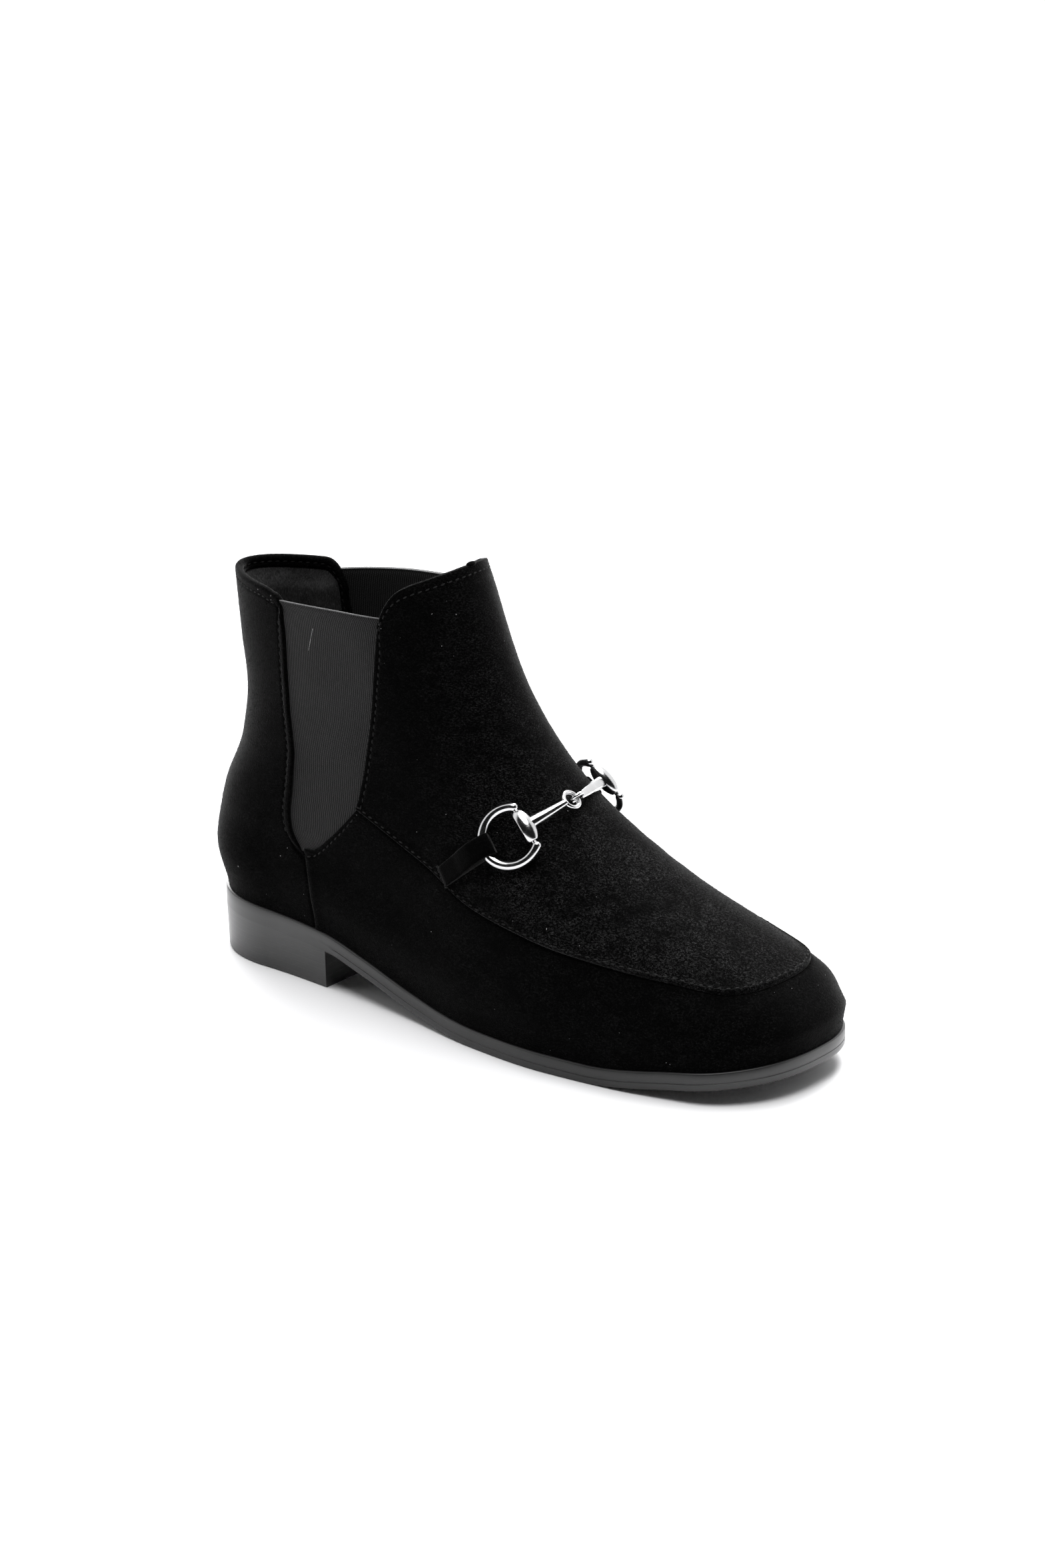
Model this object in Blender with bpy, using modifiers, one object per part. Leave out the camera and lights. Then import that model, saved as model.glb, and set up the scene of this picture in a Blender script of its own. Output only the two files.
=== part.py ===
"""Black suede ankle boot for the right foot: elastic side gores, a raised apron seam, a two-link
snaffle held by two straps across the instep, a thin outsole and a low block heel.

Tables and functions work in millimetres, with X from heel to toe, Y to the wearer's left and Z up
from the floor. Meshes are made in metres."""

import math
from collections import namedtuple

import bmesh
import bpy
import numpy as np
from mathutils import Matrix, Vector

MM = 0.001
GAP = 0.3
WELD = 1e-6
OUTER, INNER = -1, 1

# Driving dimensions
WALL = 2.0
SOLE_EDGE = 6.9
SOLE_LEDGE = 1.0
INSOLE_THICKNESS = 2.5
INSOLE_CLEARANCE = 0.7
HEEL_BREAST = 66.0
HEEL_BACK_PITCH = 1.0
HEEL_SIDE_TAPER = 0.98
HEEL_EDGE_ROUND = 0.8
TOE_SWING = 8.5
TOE_SWING_START = 110.0
TOE_SWING_POWER = 1.5
SOLE_TIP = 266.0
SIDE_BULGE = 1.8
BULGE_HEIGHT = 16.0
SHAFT_STARTS, SHAFT_ALONE = 22.0, 96.0
APRON_STEP = 0.9
APRON_STEP_RUN = 0.006
APRON_FADES, APRON_FULL = 52.0, 73.0
GORE_INSET = 0.8
GORE_THICKNESS = 1.1
HALF_COLUMNS = 32
SKIRT_ROWS, SHAFT_ROWS = 6, 15
SOLE_COLUMNS = 40
HEEL_STATIONS = 15
SHARP_ANGLE = math.radians(40)

# Half widths of the upper's lower edge, from the middle line to its outer and inner side
Width = namedtuple("Width", "x outer inner")
FOOT = (
    Width(0, 28.0, 28.0),
    Width(35, 27.5, 27.5),
    Width(75, 30.6, 26.5),
    Width(110, 35.2, 27.5),
    Width(145, 42.4, 35.0),
    Width(178, 46.0, 40.5),
    Width(208, 45.0, 41.2),
    Width(238, 41.0, 38.2),
    Width(268, 37.5, 35.2),
)

# Half widths of the shaft above the foot, the same on both sides
Girth = namedtuple("Girth", "z half")
SHAFT = (
    Girth(60, 32.0),
    Girth(90, 29.0),
    Girth(115, 27.5),
    Girth(150, 27.5),
    Girth(165, 26.5),
)

# Front profile, with how far behind it the sides reach full width and how square they turn
Profile = namedtuple("Profile", "name x z depth fullness")
FRONT = (
    Profile("toe_edge", 264.0, 15.1, 38, 2.5),
    Profile("toe_wall", 264.8, 23.0, 38, 2.5),
    Profile("toe_round", 258.2, 32.0, 33, 2.4),
    Profile("apron_end", 251.0, 38.0, 27, 2.8),
    Profile("toes", 224.5, 49.5, 31, 2.6),
    Profile("vamp", 199.0, 60.0, 33, 2.6),
    Profile("joint", 178.3, 72.0, 35, 2.6),
    Profile("snaffle", 158.5, 87.0, 37, 2.5),
    Profile("instep", 142.8, 104.0, 40, 2.4),
    Profile("shin", 127.8, 128.0, 42, 2.2),
    Profile("collar", 112.0, 168.0, 42, 2.2),
)

# Back profile, with the same two columns for the way the back turns into the sides
BACK = (
    Profile("seat", 1.5, 25.5, 33, 2.2),
    Profile("counter", -2.8, 44.0, 34, 2.2),
    Profile("heel_top", 0.3, 65.0, 38, 2.1),
    Profile("hollow", 7.2, 86.0, 48, 2.0),
    Profile("ankle", 8.4, 102.0, 54, 1.95),
    Profile("above_ankle", 5.2, 125.0, 60, 1.95),
    Profile("collar", 2.2, 149.0, 64, 1.95),
)

# Lines seen from the side
Level = namedtuple("Level", "x z")
SOLE_BOTTOM = (
    Level(0, 18.4),
    Level(65, 14.8),
    Level(85, 10.4),
    Level(112, 3.9),
    Level(135, 0.7),
    Level(152, 0.0),
    Level(196, 0.0),
    Level(236, 4.6),
    Level(268, 8.4),
)
APRON_SEAM = (
    Level(-3, 60.0),
    Level(35, 66.0),
    Level(82, 75.0),
    Level(102, 67.6),
    Level(122, 60.4),
    Level(137, 53.6),
    Level(148, 50.8),
    Level(164, 48.2),
    Level(179, 45.9),
    Level(196, 43.9),
    Level(211, 42.2),
    Level(226, 40.4),
    Level(237, 38.8),
    Level(245, 38.0),
    Level(251, 38.0),
)
COLLAR = (
    Level(2.2, 149.0),
    Level(15, 149.0),
    Level(30, 149.0),
    Level(38, 148.0),
    Level(60, 148.5),
    Level(86, 150.0),
    Level(92, 156.5),
    Level(98, 161.4),
    Level(105, 164.8),
    Level(112, 168.0),
)

# Top edges of the outer and inner gore
GoreTop = namedtuple("GoreTop", "x outer inner")
GORE_TOP = (
    GoreTop(30, 145.0, 145.2),
    GoreTop(45, 146.8, 147.6),
    GoreTop(65, 148.4, 150.2),
    GoreTop(92, 149.6, 152.2),
)

# Back edges of the outer and inner gore notch at each height, and their front edge
Notch = namedtuple("Notch", "z outer inner front")
NOTCH = (
    Notch(53, 53.5, 53.5, 59.0),
    Notch(56, 51.2, 51.2, 63.5),
    Notch(60, 49.6, 49.4, 68.0),
    Notch(66, 49.0, 48.2, 74.0),
    Notch(76, 50.0, 47.2, 81.5),
    Notch(88, 50.2, 45.0, 84.6),
    Notch(95, 48.8, 42.6, 85.4),
    Notch(106, 46.0, 39.0, 86.6),
    Notch(118, 44.7, 37.4, 87.8),
    Notch(134, 43.8, 36.3, 88.8),
    Notch(141, 42.8, 35.2, 89.2),
    Notch(147, 39.8, 32.4, 89.6),
    Notch(151, 36.5, 29.2, 90.4),
    Notch(157, 33.0, 26.5, 93.5),
    Notch(175, 30.0, 24.0, 101.0),
)
NOTCH_STATIONS = 40
NOTCH_REACH = 90.0
GORE_ROWS, GORE_COLUMNS = 24, 6
GORE_PASSES = 4

# The snaffle's halves and their straps, measured down each side from the instep's ridge
SNAFFLE_FALL = math.radians(39)
CAP_GIRTH = {OUTER: 25.0, INNER: 22.8}
EYE_GIRTH = 5.0
CAP_LIFT = {OUTER: 4.4, INNER: 4.3}
EYE_AHEAD = 1.2
CAP_AHEAD = {OUTER: 2.5, INNER: -1.6}
CAP_SIZES = (3.1, 3.6, 6.5)
RING_RADIUS, RING_WIRE = 10.8, 1.7
RING_OFFSET = 6.6
RING_STATIONS, EYE_STATIONS = 25, 17
PIN_RADIUS = 0.9
ROD_SIDES = 12
BALL_SEGMENTS, BALL_RINGS = 14, 8
EYE_RADIUS, EYE_WIRE = 3.3, 0.85
HOOK_RADIUS, HOOK_WIRE = 2.6, 0.75
EYE_OFFSET, EYE_LIFT = 1.5, 3.9
BAR_TIP, BAR_ROOT = 1.3, 2.7
PADDLE_TIP, PADDLE_ROOT = 1.3, 2.6
PADDLE_FLATNESS = 0.5
LOOP_LIFT = 3.2
STRAP_NOSE = 5.2
STRAP_SEAM_GAP = 4.4
STRAP_EDGE = 0.35
STRAP_BEHIND = 1.5

# Sections of a strap: share of the way from the ring's wire to the seam (negative: to the nose),
# heights of its two faces above the apron, and half width
Section = namedtuple("Section", "share low high half")
STRAP = (
    Section(-1.0, 1.4, 4.4, 4.1),
    Section(-0.84, 0.7, 5.5, 4.2),
    Section(-0.4, 0.3, 6.1, 4.2),
    Section(0.1, 0.3, 6.1, 4.2),
    Section(0.3, 0.3, 5.0, 4.2),
    Section(0.52, 0.3, 3.3, 4.1),
    Section(0.75, 0.3, 2.5, 4.0),
    Section(1.0, 0.3, 2.3, 3.8),
)


def monotone(knots, values, at):
    """A cubic through the values that never overshoots them."""
    step = np.diff(knots)
    rise = np.diff(values) / step
    slope = np.concatenate([rise[:1], np.zeros(len(rise) - 1), rise[-1:]])
    same_way = rise[:-1] * rise[1:] > 0
    with np.errstate(divide="ignore", invalid="ignore"):
        mean = 2 * rise[:-1] * rise[1:] / (rise[:-1] + rise[1:])
    slope[1:-1] = np.where(same_way, mean, 0.0)
    at = np.clip(at, knots[0], knots[-1])
    i = np.clip(np.searchsorted(knots, at, side="right") - 1, 0, len(step) - 1)
    t = (at - knots[i]) / step[i]
    start = values[i] * (1 + 2 * t) * (1 - t) ** 2 + slope[i] * step[i] * t * (1 - t) ** 2
    end = values[i + 1] * t**2 * (3 - 2 * t) + slope[i + 1] * step[i] * t**2 * (t - 1)
    return start + end


def column(rows, name):
    return np.array([getattr(row, name) for row in rows], float)


def named(rows, name):
    return next(row for row in rows if row.name == name)


def read(rows, along, across, at):
    """One column of a table, read smoothly along another."""
    return monotone(column(rows, along), column(rows, across), np.asarray(at, float))


def ease(low, high, value):
    """0 below low, 1 above high, and a smooth rise between."""
    t = np.clip((value - low) / (high - low), 0, 1)
    return t * t * (3 - 2 * t)


def rounding(share, fullness):
    """Rise from 0 to 1 of a side that turns out of the middle line."""
    return (1 - (1 - np.clip(share, 0, 1)) ** fullness) ** (1 / fullness)


class FrontLine:
    """The front profile as a dense curve, from the toe's lower edge up to the collar."""

    samples = 600
    blend = 5.0

    def __init__(self):
        x, z = column(FRONT, "x"), column(FRONT, "z")
        self.knots = np.concatenate([[0], np.cumsum(np.hypot(np.diff(x), np.diff(z)))])
        self.along = np.linspace(0, self.knots[-1], self.samples)
        self.points = np.stack([self.value("x"), self.value("z")], 1)
        self.depth, self.fullness = self.value("depth"), self.value("fullness")

    def value(self, name):
        return monotone(self.knots, column(FRONT, name), self.along)

    def knot(self, name):
        return self.knots[[row.name for row in FRONT].index(name)]

    def at(self, along):
        return np.stack([np.interp(along, self.along, self.points[:, i]) for i in (0, 1)], -1)

    def nearest(self, x, z):
        """Distance inside the profile, and its depth and fullness around the nearest place."""
        away = np.hypot(x[..., None] - self.points[:, 0], z[..., None] - self.points[:, 1])
        least = away.min(-1)
        weight = np.exp((least[..., None] - away) / self.blend)
        weight /= weight.sum(-1, keepdims=True)
        start = np.clip(away.argmin(-1) - 1, 0, self.samples - 3)
        inside = np.full(x.shape, np.inf)
        for i in (start, start + 1):
            a, b = self.points[i], self.points[i + 1]
            run, rise = b[..., 0] - a[..., 0], b[..., 1] - a[..., 1]
            ahead, up = x - a[..., 0], z - a[..., 1]
            share = np.clip((ahead * run + up * rise) / (run**2 + rise**2), 0, 1)
            gap = np.hypot(ahead - share * run, up - share * rise)
            inside = np.minimum(inside, np.where(run * up - rise * ahead > 0, gap, 0))
        return inside, weight @ self.depth, weight @ self.fullness


FRONT_LINE = FrontLine()
SEAT_X, TOE_X = named(BACK, "seat").x, named(FRONT, "toe_edge").x


def sole_bottom(x):
    return read(SOLE_BOTTOM, "x", "z", x)


def sole_top(x):
    return sole_bottom(x) + SOLE_EDGE


def feather(x):
    """Height of the upper's lower edge."""
    return sole_top(x) + GAP


def middle(x):
    """The middle line swings inwards from the waist to the toe."""
    share = np.clip((x - TOE_SWING_START) / (SOLE_TIP - TOE_SWING_START), 0, 1)
    return TOE_SWING * share**TOE_SWING_POWER


def half_width(x, z, side):
    """The last: half the boot's width at a point seen from the side."""
    x, z = np.broadcast_arrays(np.asarray(x, float), np.asarray(z, float))
    foot = read(FOOT, "x", "outer" if side == OUTER else "inner", x)
    lift = np.clip((z - feather(x)) / BULGE_HEIGHT, 0, 2)
    foot = foot + SIDE_BULGE * np.sin(lift * math.pi / 2) ** 2
    shaft = read(SHAFT, "z", "half", z)
    share = ease(SHAFT_STARTS, SHAFT_ALONE, z)
    full = foot + (shaft - foot) * share
    behind = (x - read(BACK, "z", "x", z)) / read(BACK, "z", "depth", z)
    back = rounding(behind, read(BACK, "z", "fullness", z))
    away, depth, fullness = FRONT_LINE.nearest(x, z)
    return full * back * rounding(away / depth, fullness)


def on_last(x, z, side):
    """Points of the last's surface."""
    return np.stack(np.broadcast_arrays(x, middle(np.asarray(x)) + side * half_width(x, z, side), z), -1)


def spread(count):
    """Shares from 0 to 1 that crowd at both ends, where the outline turns."""
    return (1 - np.cos(np.linspace(0, math.pi, count))) / 2


def between(low, high, share):
    return low + (high - low) * share


def patch(bottom, top, left, right, up):
    """Points seen from the side between four edges: rows at the shares up, columns from heel to toe."""
    across = spread(len(bottom))[None, :, None]
    up = np.asarray(up)[:, None, None]
    corners = between(between(bottom[0], bottom[-1], across), between(top[0], top[-1], across), up)
    return between(bottom, top, up) + between(left[:, None], right[:, None], across) - corners


def back_points(z):
    return np.stack([read(BACK, "z", "x", z), z], -1)


def line_points(rows, start, end, share):
    """A line of a table between two x values."""
    x = between(start, end, share)
    return np.stack([x, read(rows, "x", "z", x)], -1)


def upper_rows():
    """Side-view points of the upper's rows: the skirt up to the apron seam, then all above it."""
    share = spread(HALF_COLUMNS + 1)
    seam_back = read(BACK, "z", "x", APRON_SEAM[0].z)
    apron_end = named(FRONT, "apron_end")
    x = between(SEAT_X, TOE_X, share)
    lower = np.stack([x, feather(x)], -1)
    seam = line_points(APRON_SEAM, seam_back, apron_end.x, share)
    collar_line = line_points(COLLAR, named(BACK, "collar").x, named(FRONT, "collar").x, share)
    up = np.linspace(0, 1, SKIRT_ROWS + 1)
    skirt = patch(
        lower,
        seam,
        back_points(between(lower[0, 1], seam[0, 1], up)),
        FRONT_LINE.at(between(0, FRONT_LINE.knot("apron_end"), up)),
        up,
    )
    up = np.concatenate([[APRON_STEP_RUN], np.linspace(0, 1, SHAFT_ROWS + 1)[1:]])
    above = patch(
        seam,
        collar_line,
        back_points(between(seam[0, 1], collar_line[0, 1], up)),
        FRONT_LINE.at(between(FRONT_LINE.knot("apron_end"), FRONT_LINE.knots[-1], up)),
        up,
    )
    return np.concatenate([skirt, above])


def ring_of(rows):
    """Closed rings on the last: back to front on the outer side, then front to back on the inner."""
    outer = on_last(rows[..., 0], rows[..., 1], OUTER)
    inner = on_last(rows[..., 0], rows[..., 1], INNER)
    for end in (0, -1):
        outer[:, end, 1] = middle(rows[:, end, 0])
    return np.concatenate([outer, inner[:, -2:0:-1]], axis=1)


def grid_normals(rings):
    """Outward directions at the points of closed rings that run upwards."""
    around = np.roll(rings, -1, axis=1) - np.roll(rings, 1, axis=1)
    normals = np.cross(around, np.gradient(rings, axis=0))
    return normals / np.linalg.norm(normals, axis=-1, keepdims=True)


def upper_rings():
    rings = ring_of(upper_rows())
    raised = APRON_STEP * ease(APRON_FADES, APRON_FULL, rings[..., 0])
    raised[: SKIRT_ROWS + 1] = 0
    return rings + grid_normals(rings) * raised[..., None]


def plan_outline(grow):
    """The upper's lower edge seen from above, grown outwards; its two halves, heel to toe."""
    share = spread(SOLE_COLUMNS + 1)
    x = between(SEAT_X, TOE_X, share)
    halves = [on_last(x, feather(x), side)[:, :2] for side in (OUTER, INNER)]
    halves[0][[0, -1], 1] = middle(x[[0, -1]])
    ring = np.concatenate([halves[0], halves[1][-2:0:-1]])
    along = np.roll(ring, -1, axis=0) - np.roll(ring, 1, axis=0)
    along /= np.linalg.norm(along, axis=1, keepdims=True)
    return ring + grow * np.stack([along[:, 1], -along[:, 0]], 1)


def lofted(name, rings, material, collection, closed_ends=True):
    """A mesh of quads through rings of equal point counts; an end is closed by rungs across it."""
    rows, count = rings.shape[:2]
    faces = []
    for i in range(rows - 1):
        for j in range(count):
            k = (j + 1) % count
            faces.append((i * count + j, i * count + k, (i + 1) * count + k, (i + 1) * count + j))
    if closed_ends:
        for start in (0, (rows - 1) * count):
            for j in range(count // 2):
                rung = (j, j + 1, (count - j - 1) % count, (count - j) % count)
                faces.append([start + k for k in dict.fromkeys(rung)])
    mesh = bpy.data.meshes.new(name)
    mesh.from_pydata((rings.reshape(-1, 3) * MM).tolist(), [], faces)
    if closed_ends:
        form = bmesh.new()
        form.from_mesh(mesh)
        bmesh.ops.recalc_face_normals(form, faces=form.faces)
        form.to_mesh(mesh)
        form.free()
    return add_object(name, mesh, material, collection)


def add_object(name, mesh, material, collection):
    mesh.shade_smooth()
    mesh.set_sharp_from_angle(angle=SHARP_ANGLE)
    if material:
        mesh.materials.append(material)
    made = bpy.data.objects.new(name, mesh)
    collection.objects.link(made)
    return made


def finish(name, colour, roughness, metallic=0.0):
    material = bpy.data.materials.new(name)
    material.use_nodes = True
    shader = material.node_tree.nodes["Principled BSDF"]
    shader.inputs["Base Color"].default_value = (*colour, 1.0)
    shader.inputs["Roughness"].default_value = roughness
    shader.inputs["Metallic"].default_value = metallic
    return material


def thicken(part, thickness):
    solid = part.modifiers.new("wall", "SOLIDIFY")
    solid.thickness = thickness * MM
    solid.offset = -1
    solid.use_even_offset = True


def cut(part, cutter, operation="DIFFERENCE"):
    cutter.hide_render = True
    cutter.display_type = "WIRE"
    modifier = part.modifiers.new(cutter.name, "BOOLEAN")
    modifier.operation = operation
    modifier.object = cutter


def make_upper(parts, cutters, suede):
    upper = lofted("upper", upper_rings(), suede, parts, closed_ends=False)
    thicken(upper, WALL)
    for side, name in ((OUTER, "outer"), (INNER, "inner")):
        cut(upper, notch_cutter(side, name, cutters))


def notch_back(z, side):
    return read(NOTCH, "z", "outer" if side == OUTER else "inner", z)


def notch_cutter(side, name, cutters):
    """A bar through one side of the boot with the outline of its gore notch."""
    z = between(NOTCH[0].z, NOTCH[-1].z, np.linspace(0, 1, NOTCH_STATIONS))
    back = np.column_stack([notch_back(z, side), z])
    front = np.column_stack([read(NOTCH, "z", "front", z), z])
    outline = np.concatenate([back, front[::-1]])
    rings = [np.insert(outline, 1, y, axis=1) for y in (0, side * NOTCH_REACH)]
    return lofted("gore_notch_" + name, np.array(rings), None, cutters)


def make_gore(name, side, parts, elastic):
    """A panel that fills its notch, set a little below the suede."""
    bottom = NOTCH[0].z + GAP
    top = "outer" if side == OUTER else "inner"
    rows = []
    for share in np.linspace(0, 1, GORE_ROWS):
        row = []
        for across in np.linspace(0, 1, GORE_COLUMNS):
            z = bottom
            for _ in range(GORE_PASSES):
                back = notch_back(z, side) + GAP
                front = read(NOTCH, "z", "front", z) - GAP
                x = between(back, front, across)
                z = between(bottom, read(GORE_TOP, "x", top, x), share)
            y = middle(x) + side * (half_width(x, z, side) - GORE_INSET)
            row.append((x, y, z))
        rows.append(row)
    points = np.array(rows, float).reshape(-1, 3)
    faces = []
    for i in range(GORE_ROWS - 1):
        for j in range(GORE_COLUMNS - 1):
            k = i * GORE_COLUMNS + j
            face = (k, k + 1, k + GORE_COLUMNS + 1, k + GORE_COLUMNS)
            faces.append(face if side == OUTER else face[::-1])
    mesh = bpy.data.meshes.new(name)
    mesh.from_pydata((points * MM).tolist(), [], faces)
    thicken(add_object(name, mesh, elastic, parts), GORE_THICKNESS)


# Levels down the sole's edge: share of its thickness, and how far the edge stands in
Edge = namedtuple("Edge", "share inset")
SOLE_SIDE = (
    Edge(0.0, 0.5),
    Edge(0.1, 0.0),
    Edge(0.56, 0.0),
    Edge(0.6, 0.5),
    Edge(0.64, 0.0),
    Edge(0.9, 0.0),
    Edge(1.0, 0.7),
)


def make_outsole(parts, rubber):
    rings = []
    for edge in reversed(SOLE_SIDE):
        ring = plan_outline(SOLE_LEDGE - edge.inset)
        z = sole_top(ring[:, 0]) - edge.share * SOLE_EDGE
        rings.append(np.column_stack([ring, z]))
    lofted("outsole", np.array(rings), rubber, parts)


def make_insole(parts, sock):
    ring = plan_outline(-WALL - INSOLE_CLEARANCE)
    low = sole_top(ring[:, 0]) + GAP
    rings = [np.column_stack([ring, low + lift]) for lift in (0, INSOLE_THICKNESS)]
    lofted("insole", np.array(rings), sock, parts)


def make_heel(parts, rubber):
    """A block with the sole's outline at its top, drawn in a little towards the floor."""
    outline = plan_outline(SOLE_LEDGE)
    tip = SOLE_COLUMNS
    x = between(outline[0, 0], HEEL_BREAST, np.sin(np.linspace(0, math.pi / 2, HEEL_STATIONS)))
    outer = np.interp(x, outline[: tip + 1, 0], outline[: tip + 1, 1])
    inner_half = np.concatenate([outline[:1], outline[:tip:-1], outline[tip : tip + 1]])
    inner = np.interp(x, inner_half[:, 0], inner_half[:, 1])
    ring = np.concatenate([np.column_stack([x, outer]), np.column_stack([x, inner])[:0:-1]])
    levels = ((0.0, HEEL_EDGE_ROUND), (HEEL_EDGE_ROUND, 0.0), (None, 0.0))
    centre = np.array([HEEL_BREAST / 2, 0.0])
    rings = []
    for height, inset in levels:
        top = sole_bottom(ring[:, 0]) - GAP
        z = top if height is None else np.full(len(ring), height)
        low = 1 - z / top
        plan = ring.copy()
        plan[:, 0] += low * HEEL_BACK_PITCH * (1 - np.clip(ring[:, 0] / HEEL_BREAST, 0, 1))
        plan[:, 1] *= between(1, HEEL_SIDE_TAPER, low)
        plan += (centre - plan) * (inset / np.linalg.norm(centre - plan, axis=1))[:, None]
        rings.append(np.column_stack([plan, z]))
    lofted("heel", np.array(rings), rubber, parts)


class GirthLine:
    """A line over the instep, measured from its ridge down one side to the apron seam."""

    samples = 500
    reach = 50.0

    def __init__(self, side, ahead):
        ridge = FRONT_LINE.at(FRONT_LINE.knot("snaffle") - ahead)
        fall = self.reach * np.linspace(0, 1, self.samples) ** 3
        x = ridge[0] - fall * math.cos(SNAFFLE_FALL)
        z = ridge[1] - fall * math.sin(SNAFFLE_FALL)
        self.points = on_last(x, z, side)
        steps = np.linalg.norm(np.diff(self.points, axis=0), axis=1)
        self.girth = np.concatenate([[0], np.cumsum(steps)])
        self.seam_girth = self.girth[np.argmax(z < read(APRON_SEAM, "x", "z", x))]

    def at(self, girth):
        return np.array([np.interp(girth, self.girth, self.points[:, i]) for i in range(3)])


class SnaffleLine:
    """The line that a strap and its half of the snaffle follow, with directions beside it."""

    beside = 2.0

    def __init__(self, side, ahead):
        self.side = side
        self.line = GirthLine(side, ahead)
        self.ahead = GirthLine(side, ahead + self.beside)
        self.behind = GirthLine(side, ahead - self.beside)

    def directions(self, girth):
        """Unit vectors down the line, towards the toe and out of the boot."""
        down = Vector(self.line.at(girth + self.beside) - self.line.at(girth - self.beside)).normalized()
        toe = Vector(self.ahead.at(girth) - self.behind.at(girth))
        toe = (toe - down * toe.dot(down)).normalized()
        return down, toe, down.cross(toe) * -self.side

    def above(self, girth, lift):
        return Vector(self.line.at(girth)) + self.directions(girth)[2] * (APRON_STEP + lift)


def frame_at(origin, along, out):
    """A place in metres whose Z axis runs along one direction and whose X axis leans to another."""
    z = along.normalized()
    x = (out - z * out.dot(z)).normalized()
    place = Matrix((x, z.cross(x), z)).transposed().to_4x4()
    place.translation = origin
    return Matrix.Scale(MM, 4) @ place


def ball(name, place, sizes, collection, material=None):
    form = bmesh.new()
    stretch = Matrix.Diagonal((*sizes, 1.0))
    bmesh.ops.create_uvsphere(
        form,
        u_segments=BALL_SEGMENTS,
        v_segments=BALL_RINGS,
        radius=1.0,
        matrix=place @ stretch,
    )
    return from_form(name, form, collection, material)


def rod(name, start, end, radii, out, flatness, collection, material=None):
    """A round or flattened bar that tapers from one point to another."""
    form = bmesh.new()
    place = frame_at((start + end) / 2, end - start, out) @ Matrix.Diagonal((flatness, 1.0, 1.0, 1.0))
    bmesh.ops.create_cone(
        form,
        cap_ends=True,
        segments=ROD_SIDES,
        radius1=radii[0],
        radius2=radii[1],
        depth=(end - start).length,
        matrix=place,
    )
    return from_form(name, form, collection, material)


def wire(name, points, radius, closed, collection, material=None):
    """A round wire along points, as a mesh."""
    curve = bpy.data.curves.new(name, "CURVE")
    curve.dimensions = "3D"
    curve.bevel_depth = radius * MM
    curve.bevel_resolution = 2
    curve.use_fill_caps = True
    spline = curve.splines.new("POLY")
    spline.points.add(len(points) - 1)
    for corner, point in zip(spline.points, points):
        corner.co = (*(point * MM), 1.0)
    spline.use_cyclic_u = closed
    guide = bpy.data.objects.new(name + "_guide", curve)
    collection.objects.link(guide)
    graph = bpy.context.evaluated_depsgraph_get()
    mesh = bpy.data.meshes.new_from_object(guide.evaluated_get(graph))
    bpy.data.objects.remove(guide, do_unlink=True)
    form = bmesh.new()
    form.from_mesh(mesh)
    bmesh.ops.remove_doubles(form, verts=form.verts, dist=WELD)
    return from_form(name, form, collection, material)


def from_form(name, form, collection, material):
    bmesh.ops.recalc_face_normals(form, faces=form.faces)
    mesh = bpy.data.meshes.new(name)
    form.to_mesh(mesh)
    form.free()
    return add_object(name, mesh, material, collection)


def arc(centre, across, along, radius, reach, count):
    """Points of an arc that reaches as far to both sides of one direction."""
    turns = np.linspace(-reach, reach, count)
    return [centre + across * (radius * math.cos(turn)) + along * (radius * math.sin(turn)) for turn in turns]


def full_circle(centre, across, along, radius, count):
    return arc(centre, across, along, radius, math.pi, count)[1:]


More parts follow.
